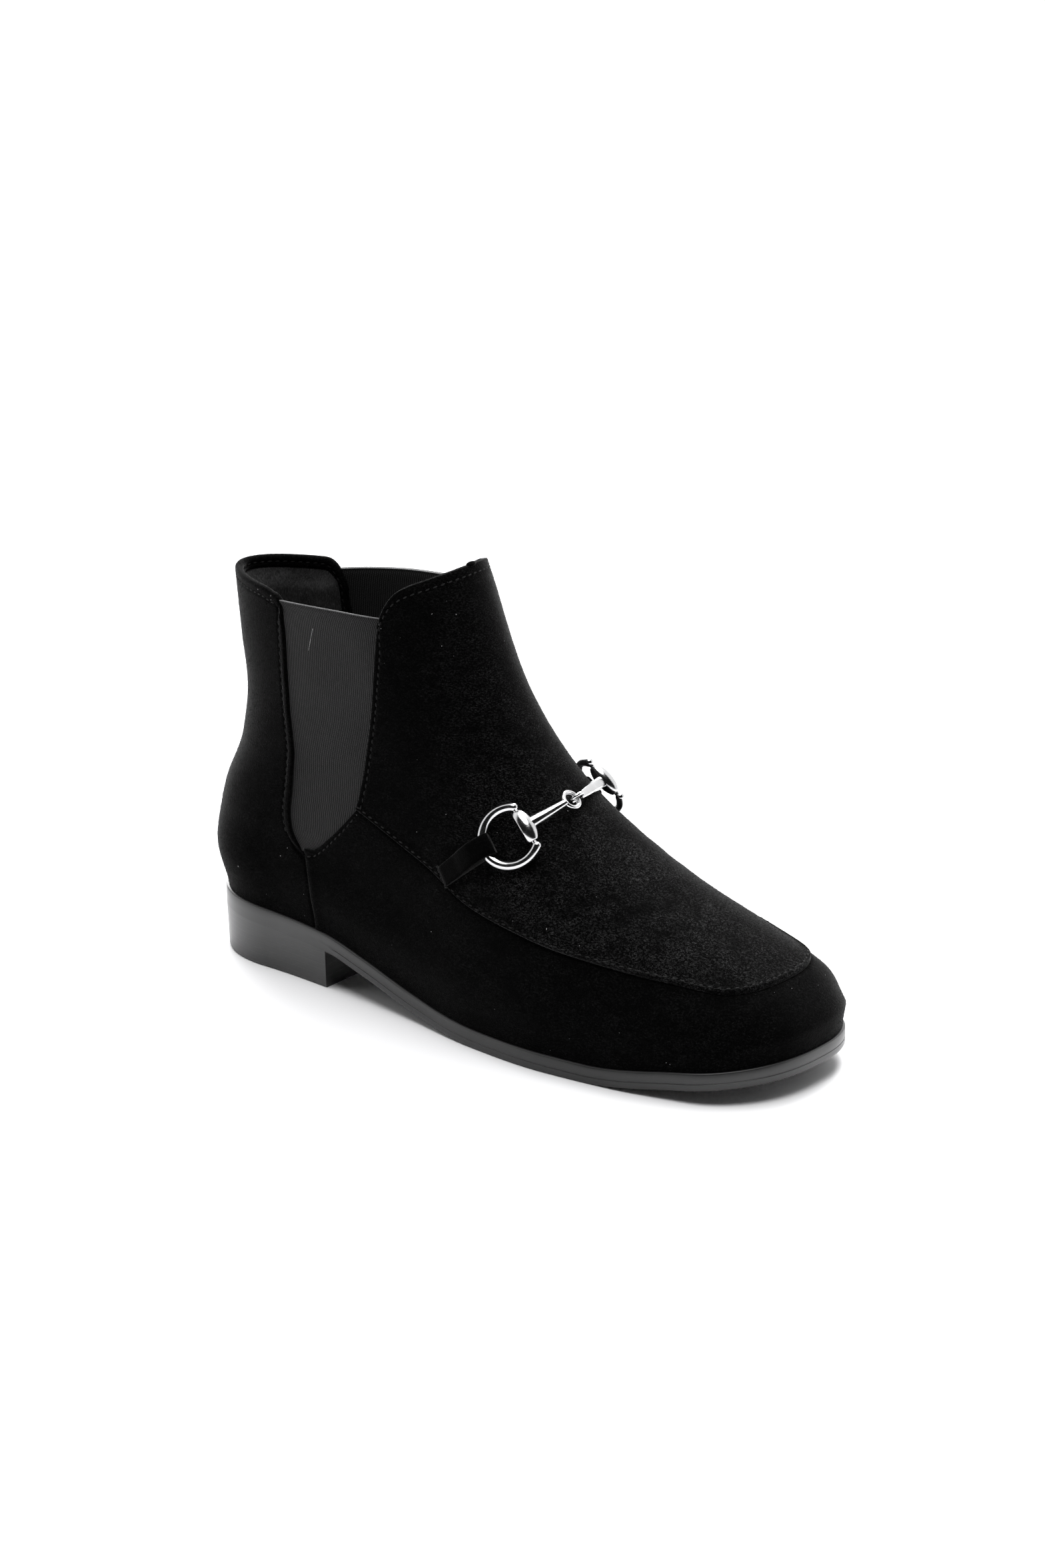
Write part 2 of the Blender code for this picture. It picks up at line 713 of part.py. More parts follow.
def make_snaffle(side, name, parts, cutters, metal, suede):
    """One cheek ring with its linked bar, and the strap that holds the ring."""
    line = SnaffleLine(side, CAP_AHEAD[side])
    ridge = SnaffleLine(OUTER, EYE_AHEAD)
    down, toe, out = line.directions(CAP_GIRTH[side])
    cap = line.above(CAP_GIRTH[side], CAP_LIFT[side])
    wire_girth = CAP_GIRTH[side] + RING_OFFSET + RING_RADIUS
    far = line.above(wire_girth, LOOP_LIFT)
    across = far - cap
    across = (across - toe * across.dot(toe)).normalized()
    centre = cap + across * RING_OFFSET
    reach = math.pi - math.acos(RING_OFFSET / RING_RADIUS)
    bow = arc(centre, across, toe, RING_RADIUS, reach, RING_STATIONS)
    ring = wire("snaffle_ring_" + name, bow, RING_WIRE, False, parts, metal)
    cut(ring, rod("pin_" + name, bow[0], bow[-1], (PIN_RADIUS, PIN_RADIUS), out, 1.0, cutters), "UNION")

    sideways = Vector((0, side, 0))
    _, ridge_toe, ridge_out = ridge.directions(EYE_GIRTH)
    eye = ridge.above(EYE_GIRTH, EYE_LIFT) + sideways * EYE_OFFSET
    flat = side == OUTER
    radius, thick = (EYE_RADIUS, EYE_WIRE) if flat else (HOOK_RADIUS, HOOK_WIRE)
    start = eye + sideways * radius
    radii = (BAR_TIP, BAR_ROOT) if flat else (PADDLE_TIP, PADDLE_ROOT)
    link = rod("snaffle_link_" + name, start, cap, radii, out, 1.0 if flat else PADDLE_FLATNESS, parts, metal)
    circle = full_circle(eye, sideways, ridge_toe if flat else ridge_out, radius, EYE_STATIONS)
    cut(link, wire("eye_" + name, circle, thick, True, cutters), "UNION")
    cut(link, ball("cap_" + name, frame_at(cap, toe, out), CAP_SIZES, cutters), "UNION")
    bore_end = toe * RING_RADIUS
    bore = (PIN_RADIUS + GAP, PIN_RADIUS + GAP)
    cut(link, rod("pin_bore_" + name, cap - bore_end, cap + bore_end, bore, out, 1.0, cutters))

    base = line.line.seam_girth - STRAP_SEAM_GAP - wire_girth
    rings = []
    for row in STRAP:
        girth = wire_girth + row.share * (base if row.share > 0 else STRAP_NOSE)
        _, strap_toe, strap_out = line.directions(girth)
        middle_point = line.above(girth, 0) - strap_toe * STRAP_BEHIND
        soft = STRAP_EDGE
        section = (
            (-row.half, row.low + soft),
            (-row.half + soft, row.low),
            (row.half - soft, row.low),
            (row.half, row.low + soft),
            (row.half, row.high - soft),
            (row.half - soft, row.high),
            (-row.half + soft, row.high),
            (-row.half, row.high - soft),
        )
        rings.append([middle_point + strap_toe * a + strap_out * h for a, h in section])
    strap = lofted("strap_" + name, np.array(rings), suede, parts)
    loop = full_circle(centre, across, toe, RING_RADIUS, RING_STATIONS)
    cut(strap, wire("strap_bore_" + name, loop, RING_WIRE + GAP, True, cutters))


def centre_on_floor(root, parts):
    """Moves the whole boot so that its box stands centred over the origin."""
    bpy.context.view_layer.update()
    graph = bpy.context.evaluated_depsgraph_get()
    corners = []
    for part in parts.objects:
        corners += [Vector(corner) for corner in part.evaluated_get(graph).bound_box]
    low = Vector([min(c[i] for c in corners) for i in range(3)])
    high = Vector([max(c[i] for c in corners) for i in range(3)])
    root.location = (-(low.x + high.x) / 2, -(low.y + high.y) / 2, -low.z)


def build():
    for old in list(bpy.data.objects):
        bpy.data.objects.remove(old, do_unlink=True)
    parts = bpy.data.collections.new("ankle_boot")
    cutters = bpy.data.collections.new("cutters")
    for group in (parts, cutters):
        bpy.context.scene.collection.children.link(group)
    suede = finish("black suede", (0.012, 0.012, 0.012), 0.95)
    elastic = finish("grey elastic", (0.04, 0.04, 0.042), 0.85)
    rubber = finish("satin black sole", (0.03, 0.03, 0.031), 0.45)
    sock = finish("black sock", (0.02, 0.02, 0.02), 0.9)
    strap_suede = finish("black strap suede", (0.012, 0.012, 0.012), 0.95)
    metal = finish("polished metal", (0.72, 0.72, 0.74), 0.15, 1.0)
    make_outsole(parts, rubber)
    make_heel(parts, rubber)
    make_insole(parts, sock)
    make_upper(parts, cutters, suede)
    make_gore("gore_outer", OUTER, parts, elastic)
    make_gore("gore_inner", INNER, parts, elastic)
    make_snaffle(OUTER, "outer", parts, cutters, metal, strap_suede)
    make_snaffle(INNER, "inner", parts, cutters, metal, strap_suede)
    root = bpy.data.objects.new("boot", None)
    centre_on_floor(root, parts)
    bpy.context.scene.collection.objects.link(root)
    for part in list(parts.objects) + list(cutters.objects):
        part.parent = root


build()
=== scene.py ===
import math
from collections import namedtuple

import bmesh
import bpy
import numpy as np
from mathutils import Matrix, Vector


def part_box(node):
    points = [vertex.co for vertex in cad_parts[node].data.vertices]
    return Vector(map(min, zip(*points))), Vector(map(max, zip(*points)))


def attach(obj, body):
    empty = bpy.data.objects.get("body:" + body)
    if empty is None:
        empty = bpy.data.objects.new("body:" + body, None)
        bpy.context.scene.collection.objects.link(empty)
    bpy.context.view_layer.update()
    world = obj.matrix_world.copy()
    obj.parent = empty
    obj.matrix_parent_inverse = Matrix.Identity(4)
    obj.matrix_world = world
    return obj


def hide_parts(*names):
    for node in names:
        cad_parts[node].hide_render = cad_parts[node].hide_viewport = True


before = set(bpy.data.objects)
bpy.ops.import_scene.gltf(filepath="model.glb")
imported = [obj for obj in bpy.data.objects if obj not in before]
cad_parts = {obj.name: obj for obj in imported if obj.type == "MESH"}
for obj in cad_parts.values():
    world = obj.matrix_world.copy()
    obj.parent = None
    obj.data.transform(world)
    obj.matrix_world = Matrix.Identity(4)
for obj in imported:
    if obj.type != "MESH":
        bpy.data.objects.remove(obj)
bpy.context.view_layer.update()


# Outsole: a thin moulded rubber sole with a satin face, glued under the lasted upper. It lies flat
# under the ball of the foot, rises into the arch and the toe spring, and a fine line runs round its
# edge where two layers meet. The boot's sizes are in millimetres, from the heel's back and the floor.
MM = 0.001
WELD = 2e-6
OUTER, INNER = -1, 1
SIDE_NAMES = {OUTER: "outer", INNER: "inner"}
SOLE_EDGE, SOLE_LEDGE = 6.9, 1.0
GLUE_LINE = 0.3
SOLE_STATIONS = 150
TOE_SWING, TOE_SWING_START, TOE_SWING_POWER, SOLE_TIP = 8.5, 110.0, 1.5, 266.0
SIDE_BULGE, BULGE_HEIGHT = 1.8, 16.0
SHAFT_STARTS, SHAFT_ALONE = 22.0, 96.0
HEEL_BREAST, HEEL_BLEND = 66.0, 5.0
RUNGS = np.linspace(0, 1, 9)[1:-1]


def table(fields, *rows):
    """Rows of values that are read by the names of their fields."""
    kind = namedtuple("Row", fields)
    return tuple(kind(*row) for row in rows)


FOOT = table(
    "x outer inner",
    (0, 28.0, 28.0), (35, 27.5, 27.5), (75, 30.6, 26.5), (110, 35.2, 27.5), (145, 42.4, 35.0),
    (178, 46.0, 40.5), (208, 45.0, 41.2), (238, 41.0, 38.2), (268, 37.5, 35.2),
)
SHAFT = table("z half", (60, 32.0), (90, 29.0), (115, 27.5), (150, 27.5), (165, 26.5))
FRONT = table(
    "name x z depth fullness",
    ("toe_edge", 264.0, 15.1, 38, 2.5),
    ("toe_wall", 264.8, 23.0, 38, 2.5),
    ("toe_round", 258.2, 32.0, 33, 2.4),
    ("apron_end", 251.0, 38.0, 27, 2.8),
    ("toes", 224.5, 49.5, 31, 2.6),
    ("vamp", 199.0, 60.0, 33, 2.6),
    ("joint", 178.3, 72.0, 35, 2.6),
    ("snaffle", 158.5, 87.0, 37, 2.5),
    ("instep", 142.8, 104.0, 40, 2.4),
    ("shin", 127.8, 128.0, 42, 2.2),
    ("collar", 112.0, 168.0, 42, 2.2),
)
BACK = table(
    "name x z depth fullness",
    ("seat", 1.5, 25.5, 33, 2.2),
    ("counter", -2.8, 44.0, 34, 2.2),
    ("heel_top", 0.3, 65.0, 38, 2.1),
    ("hollow", 7.2, 86.0, 48, 2.0),
    ("ankle", 8.4, 102.0, 54, 1.95),
    ("above_ankle", 5.2, 125.0, 60, 1.95),
    ("collar", 2.2, 149.0, 64, 1.95),
)
SOLE_BOTTOM = table(
    "x z",
    (0, 18.4), (65, 14.8), (85, 10.4), (112, 3.9), (135, 0.7), (152, 0.0), (196, 0.0), (236, 4.6), (268, 8.4),
)
SOLE_SIDE = table(
    "share inset at_heel",
    (0.0, 0.55, 0.55), (0.03, 0.22, 0.22), (0.09, 0.0, 0.0), (0.5, 0.0, 0.0), (0.565, 0.0, 0.0),
    (0.59, 0.16, 0.0), (0.61, 0.16, 0.0), (0.635, 0.0, 0.0), (0.8, 0.0, 0.0), (0.93, 0.0, 0.0),
    (0.975, 0.2, 0.0), (1.0, 0.6, 0.0),
)


def monotone(knots, values, at):
    """A cubic through the values that never overshoots them."""
    step = np.diff(knots)
    rise = np.diff(values) / step
    slope = np.concatenate([rise[:1], np.zeros(len(rise) - 1), rise[-1:]])
    same_way = rise[:-1] * rise[1:] > 0
    with np.errstate(divide="ignore", invalid="ignore"):
        mean = 2 * rise[:-1] * rise[1:] / (rise[:-1] + rise[1:])
    slope[1:-1] = np.where(same_way, mean, 0.0)
    at = np.clip(at, knots[0], knots[-1])
    i = np.clip(np.searchsorted(knots, at, side="right") - 1, 0, len(step) - 1)
    t = (at - knots[i]) / step[i]
    start = values[i] * (1 + 2 * t) * (1 - t) ** 2 + slope[i] * step[i] * t * (1 - t) ** 2
    end = values[i + 1] * t**2 * (3 - 2 * t) + slope[i + 1] * step[i] * t**2 * (t - 1)
    return start + end


def column(rows, name):
    return np.array([getattr(row, name) for row in rows], float)


def read(rows, along, across, at):
    """One column of a table, read smoothly along another."""
    return monotone(column(rows, along), column(rows, across), np.asarray(at, float))


def ease(low, high, value):
    """0 below low, 1 above high, and a smooth rise between."""
    t = np.clip((value - low) / (high - low), 0, 1)
    return t * t * (3 - 2 * t)


def rounding(share, fullness):
    """Rise from 0 to 1 of a side that turns out of the middle line."""
    return (1 - (1 - np.clip(share, 0, 1)) ** fullness) ** (1 / fullness)


def between(low, high, share):
    return low + (high - low) * share


def spread(count):
    """Shares from 0 to 1 that crowd at both ends."""
    return (1 - np.cos(np.linspace(0, math.pi, count))) / 2


def interpolated(at, along, values):
    """Rows of values that stand along a line, read at other places on it."""
    return np.stack([np.interp(at, along, one) for one in values.T], -1)


def unit(vectors):
    return vectors / np.linalg.norm(vectors, axis=-1, keepdims=True)


class FrontLine:
    """The front profile as a dense curve, from the toe's lower edge up to the collar."""

    samples = 600
    blend = 5.0

    def __init__(self):
        x, z = column(FRONT, "x"), column(FRONT, "z")
        self.knots = np.concatenate([[0], np.cumsum(np.hypot(np.diff(x), np.diff(z)))])
        self.along = np.linspace(0, self.knots[-1], self.samples)
        self.points = np.stack([self.value("x"), self.value("z")], 1)
        self.depth, self.fullness = self.value("depth"), self.value("fullness")

    def value(self, name):
        return monotone(self.knots, column(FRONT, name), self.along)

    def knot(self, name):
        return self.knots[[row.name for row in FRONT].index(name)]

    def at(self, along):
        return interpolated(along, self.along, self.points)

    def nearest(self, x, z):
        """Distance inside the profile, and its depth and fullness around the nearest place."""
        away = np.hypot(x[..., None] - self.points[:, 0], z[..., None] - self.points[:, 1])
        least = away.min(-1)
        weight = np.exp((least[..., None] - away) / self.blend)
        weight /= weight.sum(-1, keepdims=True)
        start = np.clip(away.argmin(-1) - 1, 0, self.samples - 3)
        inside = np.full(x.shape, np.inf)
        for i in (start, start + 1):
            a, b = self.points[i], self.points[i + 1]
            run, rise = b[..., 0] - a[..., 0], b[..., 1] - a[..., 1]
            ahead, up = x - a[..., 0], z - a[..., 1]
            share = np.clip((ahead * run + up * rise) / (run**2 + rise**2), 0, 1)
            gap = np.hypot(ahead - share * run, up - share * rise)
            inside = np.minimum(inside, np.where(run * up - rise * ahead > 0, gap, 0))
        return inside, weight @ self.depth, weight @ self.fullness


FRONT_LINE = FrontLine()
SEAT_X, TOE_X = BACK[0].x, FRONT[0].x


def sole_bottom(x):
    return read(SOLE_BOTTOM, "x", "z", x)


def sole_top(x):
    return sole_bottom(x) + SOLE_EDGE


def feather(x):
    """Height of the upper's lower edge."""
    return sole_top(x) + GLUE_LINE


def middle(x):
    """The middle line swings inwards from the waist to the toe."""
    share = np.clip((x - TOE_SWING_START) / (SOLE_TIP - TOE_SWING_START), 0, 1)
    return TOE_SWING * share**TOE_SWING_POWER


def half_width(x, z, side):
    """The last: half the boot's width at a point seen from the side."""
    x, z = np.broadcast_arrays(np.asarray(x, float), np.asarray(z, float))
    z = np.maximum(z, feather(x))
    foot = read(FOOT, "x", SIDE_NAMES[side], x)
    lift = np.clip((z - feather(x)) / BULGE_HEIGHT, 0, 2)
    foot = foot + SIDE_BULGE * np.sin(lift * math.pi / 2) ** 2
    full = between(foot, read(SHAFT, "z", "half", z), ease(SHAFT_STARTS, SHAFT_ALONE, z))
    behind = (x - read(BACK, "z", "x", z)) / read(BACK, "z", "depth", z)
    back = rounding(behind, read(BACK, "z", "fullness", z))
    away, depth, fullness = FRONT_LINE.nearest(x, z)
    return full * back * rounding(away / depth, fullness)


def on_last(x, z, side):
    """Points of the last's surface."""
    return np.stack(np.broadcast_arrays(x, middle(np.asarray(x)) + side * half_width(x, z, side), z), -1)


def plan_halves(grow):
    """The upper's lower edge seen from above, grown outwards; outer and inner half, heel to toe."""
    x = between(SEAT_X, TOE_X, spread(SOLE_STATIONS))
    outer, inner = (on_last(x, feather(x), side)[:, :2] for side in (OUTER, INNER))
    outer[[0, -1], 1] = middle(x[[0, -1]])
    ring = np.concatenate([outer, inner[-2:0:-1]])
    along = unit(np.roll(ring, -1, axis=0) - np.roll(ring, 1, axis=0))
    ring = ring + grow * np.stack([along[:, 1], -along[:, 0]], 1)
    return ring[:SOLE_STATIONS], np.concatenate([ring[:1], ring[: SOLE_STATIONS - 2 : -1]])


# The frame's outsole says where the heel's back and the middle line stand in the frame.
sole_low, sole_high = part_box("outsole")
tip_outer, tip_inner = plan_halves(SOLE_LEDGE)
ORIGIN = np.array([
    sole_high.x / MM - tip_outer[:, 0].max(),
    (sole_low.y + sole_high.y) / (2 * MM) - (tip_outer[:, 1].min() + tip_inner[:, 1].max()) / 2,
    0.0,
])


def place(points):
    """Millimetres from the heel's back to metres in the frame."""
    return (np.asarray(points, float) + ORIGIN) * MM


def sheet(points, thread=None, form=None):
    """A grid of quads on an array of points, row by row, with the places of its threads as UVs."""
    rows, columns = points.shape[:2]
    places = place(points)
    form = form or bmesh.new()
    made = bmesh.ops.create_grid(form, x_segments=columns - 1, y_segments=rows - 1, size=1.0)["verts"]
    cell = {}
    for vert in made:
        i = round((vert.co.y + 1) / 2 * (rows - 1))
        j = round((vert.co.x + 1) / 2 * (columns - 1))
        cell[vert] = i, j
        vert.co = places[i, j]
    if thread is not None:
        layer = form.loops.layers.uv.verify()
        for face in {face for vert in made for face in vert.link_faces}:
            for loop in face.loops:
                loop[layer].uv = thread[cell[loop.vert]]
    return form


def faced_out(form):
    bmesh.ops.recalc_face_normals(form, faces=form.faces)
    return form


def closed(form):
    """Joins the seams of a form that meets itself and turns its faces outwards."""
    bmesh.ops.remove_doubles(form, verts=form.verts, dist=WELD)
    bmesh.ops.dissolve_degenerate(form, edges=form.edges, dist=WELD)
    return faced_out(form)


def slab(levels):
    """A closed slab: rows down its outer side, across below, up its inner side and across above."""
    rows = [outer for outer, _ in levels]
    rows += [between(levels[-1][0], levels[-1][1], share) for share in RUNGS]
    rows += [inner for _, inner in reversed(levels)]
    rows += [between(levels[0][1], levels[0][0], share) for share in RUNGS]
    return closed(sheet(np.array(rows + rows[:1])))


SHARP_ANGLE = math.radians(38)


def in_scene(name, data):
    """A new object at the origin."""
    made = bpy.data.objects.new(name, data)
    bpy.context.scene.collection.objects.link(made)
    return made


def add_piece(name, form, slot, *materials):
    """Puts a finished form in the scene as a piece that rides on the boot."""
    mesh = bpy.data.meshes.new(name)
    form.to_mesh(mesh)
    form.free()
    mesh.shade_smooth()
    mesh.set_sharp_from_angle(angle=SHARP_ANGLE)
    for material in materials:
        mesh.materials.append(material)
    piece = in_scene(name, mesh)
    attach(piece, "root")
    return piece


def feed(tree, socket, value):
    """Links a node's input to an output, or sets it to a constant."""
    if isinstance(value, bpy.types.NodeSocket):
        tree.links.new(value, socket)
    else:
        socket.default_value = value


def fill(tree, node, **inputs):
    """Links or sets the inputs of a node by name."""
    for key, value in inputs.items():
        feed(tree, node.inputs[key.replace("_", " ")], value)
    return node


def add_node(tree, kind, **inputs):
    return fill(tree, tree.nodes.new(kind), **inputs)


def calculate(tree, operation, first, second=0.0):
    made = tree.nodes.new("ShaderNodeMath")
    made.operation = operation
    for socket, value in zip(made.inputs, (first, second)):
        feed(tree, socket, value)
    return made.outputs[0]


def remap(tree, value, low, high, start=0.0, end=1.0):
    """Puts a value between low and high at the same share between start and end."""
    spans = {"From_Min": low, "From_Max": high, "To_Min": start, "To_Max": end}
    return add_node(tree, "ShaderNodeMapRange", Value=value, **spans).outputs["Result"]


def blend_colours(tree, share, first, second):
    made = tree.nodes.new("ShaderNodeMix")
    made.data_type = "RGBA"
    for i, value in ((0, share), (6, first), (7, second)):
        feed(tree, made.inputs[i], value)
    return made.outputs[2]


BLUE_TINGE = 1.01


def grey(value):
    return (value, value, value * BLUE_TINGE, 1.0)


def new_finish(name, **constants):
    """A material whose shader has these constant values; returns it, its nodes and its shader."""
    material = bpy.data.materials.new(name)
    material.use_nodes = True
    tree = material.node_tree
    return material, tree, fill(tree, tree.nodes["Principled BSDF"], **constants)


def noise(tree, vector, scale, detail=3.0, rough=0.5):
    made = add_node(tree, "ShaderNodeTexNoise", Vector=vector, Scale=scale, Detail=detail, Roughness=rough)
    return made.outputs["Fac"]


def object_place(tree, stretch=(1.0, 1.0, 1.0), turn=(0.0, 0.0, 0.0)):
    where = tree.nodes.new("ShaderNodeTexCoord").outputs["Object"]
    return add_node(tree, "ShaderNodeMapping", Vector=where, Scale=stretch, Rotation=turn).outputs["Vector"]


def dress(tree, shader, colour, height, depth, **others):
    """Gives a shader its colour and its relief, a height in shares of a depth in millimetres."""
    bump = add_node(tree, "ShaderNodeBump", Height=height, Distance=depth * MM)
    fill(tree, shader, Base_Color=colour, Normal=bump.outputs["Normal"], **others)


def satin_rubber(name, dark, light, layer=None):
    """Satin black rubber: faint mould clouding, fine scuffs, and lines between the layers of a stack."""
    material, tree, shader = new_finish(name, Specular_IOR_Level=0.5)
    where = object_place(tree)
    cloud = noise(tree, where, 60.0, 4.0)
    scuff = noise(tree, object_place(tree, (40.0, 40.0, 420.0)), 6.0, 6.0, 0.7)
    tone = blend_colours(tree, remap(tree, cloud, 0.3, 0.7), grey(dark), grey(light))
    tone = blend_colours(tree, remap(tree, scuff, 0.62, 0.74, 0.0, 0.35), tone, grey(0.03))
    height = calculate(tree, "MULTIPLY", noise(tree, where, 2600.0, 2.0), 0.25)
    if layer:
        up = add_node(tree, "ShaderNodeSeparateXYZ", Vector=where).outputs["Z"]
        share = calculate(tree, "FRACT", calculate(tree, "DIVIDE", up, layer * MM))
        line = calculate(tree, "PINGPONG", share, 0.5)
        height = calculate(tree, "ADD", height, remap(tree, line, 0.0, 0.07, 0.0, 0.5))
    dress(tree, shader, tone, height, 0.05, Roughness=remap(tree, cloud, 0.3, 0.7, 0.3, 0.42))
    return material


def sole_halves(edge):
    """The outer and the inner half of the sole's outline at one row of its side."""
    halves = []
    for grown, deep in zip(plan_halves(SOLE_LEDGE - edge.inset), plan_halves(SOLE_LEDGE - edge.at_heel)):
        plan = between(deep, grown, ease(HEEL_BREAST, HEEL_BREAST + HEEL_BLEND, grown[:, :1]))
        halves.append(np.column_stack([plan, sole_top(plan[:, 0]) - edge.share * SOLE_EDGE]))
    return halves


sole_rubber = satin_rubber("satin black sole", 0.01, 0.018)
form = slab([sole_halves(edge) for edge in SOLE_SIDE])
outsole = add_piece("outsole_rubber", form, "sole", sole_rubber)
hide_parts("outsole")


# Heel: a low stacked block of the same satin rubber, nailed and glued under the seat of the sole and
# trimmed flush with it, so that no join shows. Faint stack lines run round it.
HEEL_BACK_PITCH, HEEL_SIDE_TAPER = 1.0, 0.98
HEEL_STATIONS, HEEL_OVERLAP, STACK_LAYER = 60, 0.25, 2.3
HEEL_SIDE = table("share inset", (1.0, 0), (0.66, 0), (0.33, 0), (0.06, 0), (0.02, 0.2), (0.0, 0.7))


def toward_end(count):
    """Shares from 0 to 1 that crowd at the end."""
    return np.sin(np.linspace(0, math.pi / 2, count))


def heel_halves(lift):
    """The outer and the inner half of the heel's outline at one level."""
    halves = []
    for half in plan_halves(SOLE_LEDGE - lift.inset):
        x = between(half[0, 0], HEEL_BREAST, toward_end(HEEL_STATIONS))
        y = np.interp(x, half[:, 0], half[:, 1])
        z = (sole_bottom(x) + HEEL_OVERLAP) * lift.share
        low = 1 - lift.share
        x = x + low * HEEL_BACK_PITCH * (1 - np.clip(x / HEEL_BREAST, 0, 1))
        halves.append(np.column_stack([x, y * between(1, HEEL_SIDE_TAPER, low), z]))
    return halves


def capped(form):
    """Fills the open ends of a form."""
    bmesh.ops.holes_fill(form, edges=form.edges)
    return faced_out(form)


heel_rubber = satin_rubber("satin black heel", 0.017, 0.027, STACK_LAYER)
form = capped(slab([heel_halves(lift) for lift in HEEL_SIDE]))
heel = add_piece("heel_block", form, "sole", heel_rubber)
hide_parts("heel")


# Insole: a soft black sock of brushed cloth on thin foam, glued in over the sole. Its edge is rounded
# by the cloth that folds round the foam.
WALL = 2.0
INSOLE_CLEARANCE, INSOLE_BED, INSOLE_TOP = 0.7, 0.3, 2.8
SOCK_EDGE = table("share inset", (1.0, 1.2), (0.9, 0.4), (0.6, 0.0), (0.0, 0.0))


def brushed_cloth(name, low, high):
    """Black brushed cloth: short fibres that lie in soft patches."""
    material, tree, shader = new_finish(name, Roughness=0.95, Specular_IOR_Level=0.1, Sheen_Weight=0.2)
    patches = noise(tree, object_place(tree), 90.0, 4.0, 0.6)
    fibre = noise(tree, object_place(tree, (1.0, 1.0, 0.25)), 2200.0, 3.0)
    tone = remap(tree, calculate(tree, "MULTIPLY", patches, fibre), 0.12, 0.4)
    dress(tree, shader, blend_colours(tree, tone, grey(low), grey(high)), fibre, 0.35)
    return material


def sock_halves(lift):
    """The outer and the inner half of the sock's outline at one level."""
    halves = plan_halves(-WALL - INSOLE_CLEARANCE - lift.inset)
    rise = between(INSOLE_BED, INSOLE_TOP, lift.share)
    return [np.column_stack([half, sole_top(half[:, 0]) + rise]) for half in halves]


sock_cloth = brushed_cloth("black sock cloth", 0.006, 0.02)
insole = add_piece("insole_sock", slab([sock_halves(lift) for lift in SOCK_EDGE]), "sock", sock_cloth)
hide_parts("insole")


# Rear panel: one piece of black suede round the heel, from the sole to the back of the collar. Its
# side edges are folded and stitched beside the elastic, and below that run under the skirt.
SUEDE_TUCK = 0.4
NOTCH = table(
    "z outer inner front",
    (53, 53.5, 53.5, 59.0), (56, 51.2, 51.2, 63.5), (60, 49.6, 49.4, 68.0), (66, 49.0, 48.2, 74.0),
    (76, 50.0, 47.2, 81.5), (88, 50.2, 45.0, 84.6), (95, 48.8, 42.6, 85.4), (106, 46.0, 39.0, 86.6),
    (118, 44.7, 37.4, 87.8), (134, 43.8, 36.3, 88.8), (141, 42.8, 35.2, 89.2), (147, 39.8, 32.4, 89.6),
    (151, 36.5, 29.2, 90.4), (157, 33.0, 26.5, 93.5), (175, 30.0, 24.0, 101.0),
)
COLLAR = table(
    "x z",
    (2.2, 149.0), (15, 149.0), (30, 149.0), (38, 148.0), (60, 148.5),
    (86, 150.0), (92, 156.5), (98, 161.4), (105, 164.8), (112, 168.0),
)
COLLAR_DIP, COLLAR_CLIMB, COLLAR_PEAK = COLLAR[3].z, COLLAR[5].z, COLLAR[-1].z
SIDE_SEAM = table("x z", (59.8, 24.0), (58.6, 39.2), (55.4, 53.0))
REAR_UNDERLAP, UNDER_SKIRT = 3.2, 47.0
UNDERLAP_DROP, UNDERLAP_FROM, UNDERLAP_TO = 0.9, 2.4, 4.4
REAR_COLUMNS, REAR_ROWS = 60, 110
REAR_CORNER_RADIUS, REAR_CORNER_EASE = {OUTER: 5.0, INNER: 9.0}, 8.0
REAR_STRAIGHT_FROM = 141.0
WELT, WELT_RADIUS, WELT_FROM, WELT_TO = 0.55, 0.8, 50.0, 56.0
REAR_STITCH, REAR_STITCH_FROM, REAR_STITCH_TO = 3.0, NOTCH[1].z, NOTCH[9].z
REAR_PULL_DEPTH, REAR_PULL_WIDTH = 0.35, 0.55
REAR_COLLAR_STITCH, COLLAR_STITCH_START = 3.4, 12
PULL_DEPTH, PULL_WIDTH = 0.3, 0.5

# How far the rounded edges of the panels drop, and their radius.
FEATHER_EDGE, REAR_COLLAR_EDGE = (0.25, 1.0), (0.8, 1.1)


def patch(bottom, top, left, right, across, up):
    """Points seen from the side between four edges, at shares across and up."""
    across = across[None, :, None]
    up = up[:, None, None]
    corners = between(between(bottom[0], bottom[-1], across), between(top[0], top[-1], across), up)
    return between(bottom, top, up) + between(left[:, None], right[:, None], across) - corners


def both_sides(half, other_half, side):
    """Two half panels that end on the middle line, put on their sides of the last."""
    one = on_last(half[..., 0], half[..., 1], side)
    other = on_last(other_half[..., 0], other_half[..., 1], -side)
    one[:, -1, 1] = middle(one[:, -1, 0])
    return np.concatenate([one, other[:, -2::-1]], axis=1)


def outward(points):
    """Unit directions out of a panel whose columns run anticlockwise round the boot, seen from above."""
    return unit(np.cross(np.gradient(points, axis=1), np.gradient(points, axis=0)))


def distance_in(points):
    """How far each point of a line, or of a panel's columns, is from the first one, along it."""
    steps = np.linalg.norm(np.diff(points, axis=0), axis=-1)
    return np.concatenate([np.zeros((1, *steps.shape[1:])), np.cumsum(steps, axis=0)])


def turned(points):
    """A panel's points with rows and columns changed over."""
    return points.transpose(1, 0, 2)


def edge_distances(points):
    """Distances from a panel's lower edge, its upper edge and the nearer of its side edges."""
    low = distance_in(points)
    high = distance_in(points[::-1])[::-1]
    first = distance_in(turned(points)).T
    last = distance_in(turned(points)[::-1])[::-1].T
    return low, high, np.minimum(first, last)


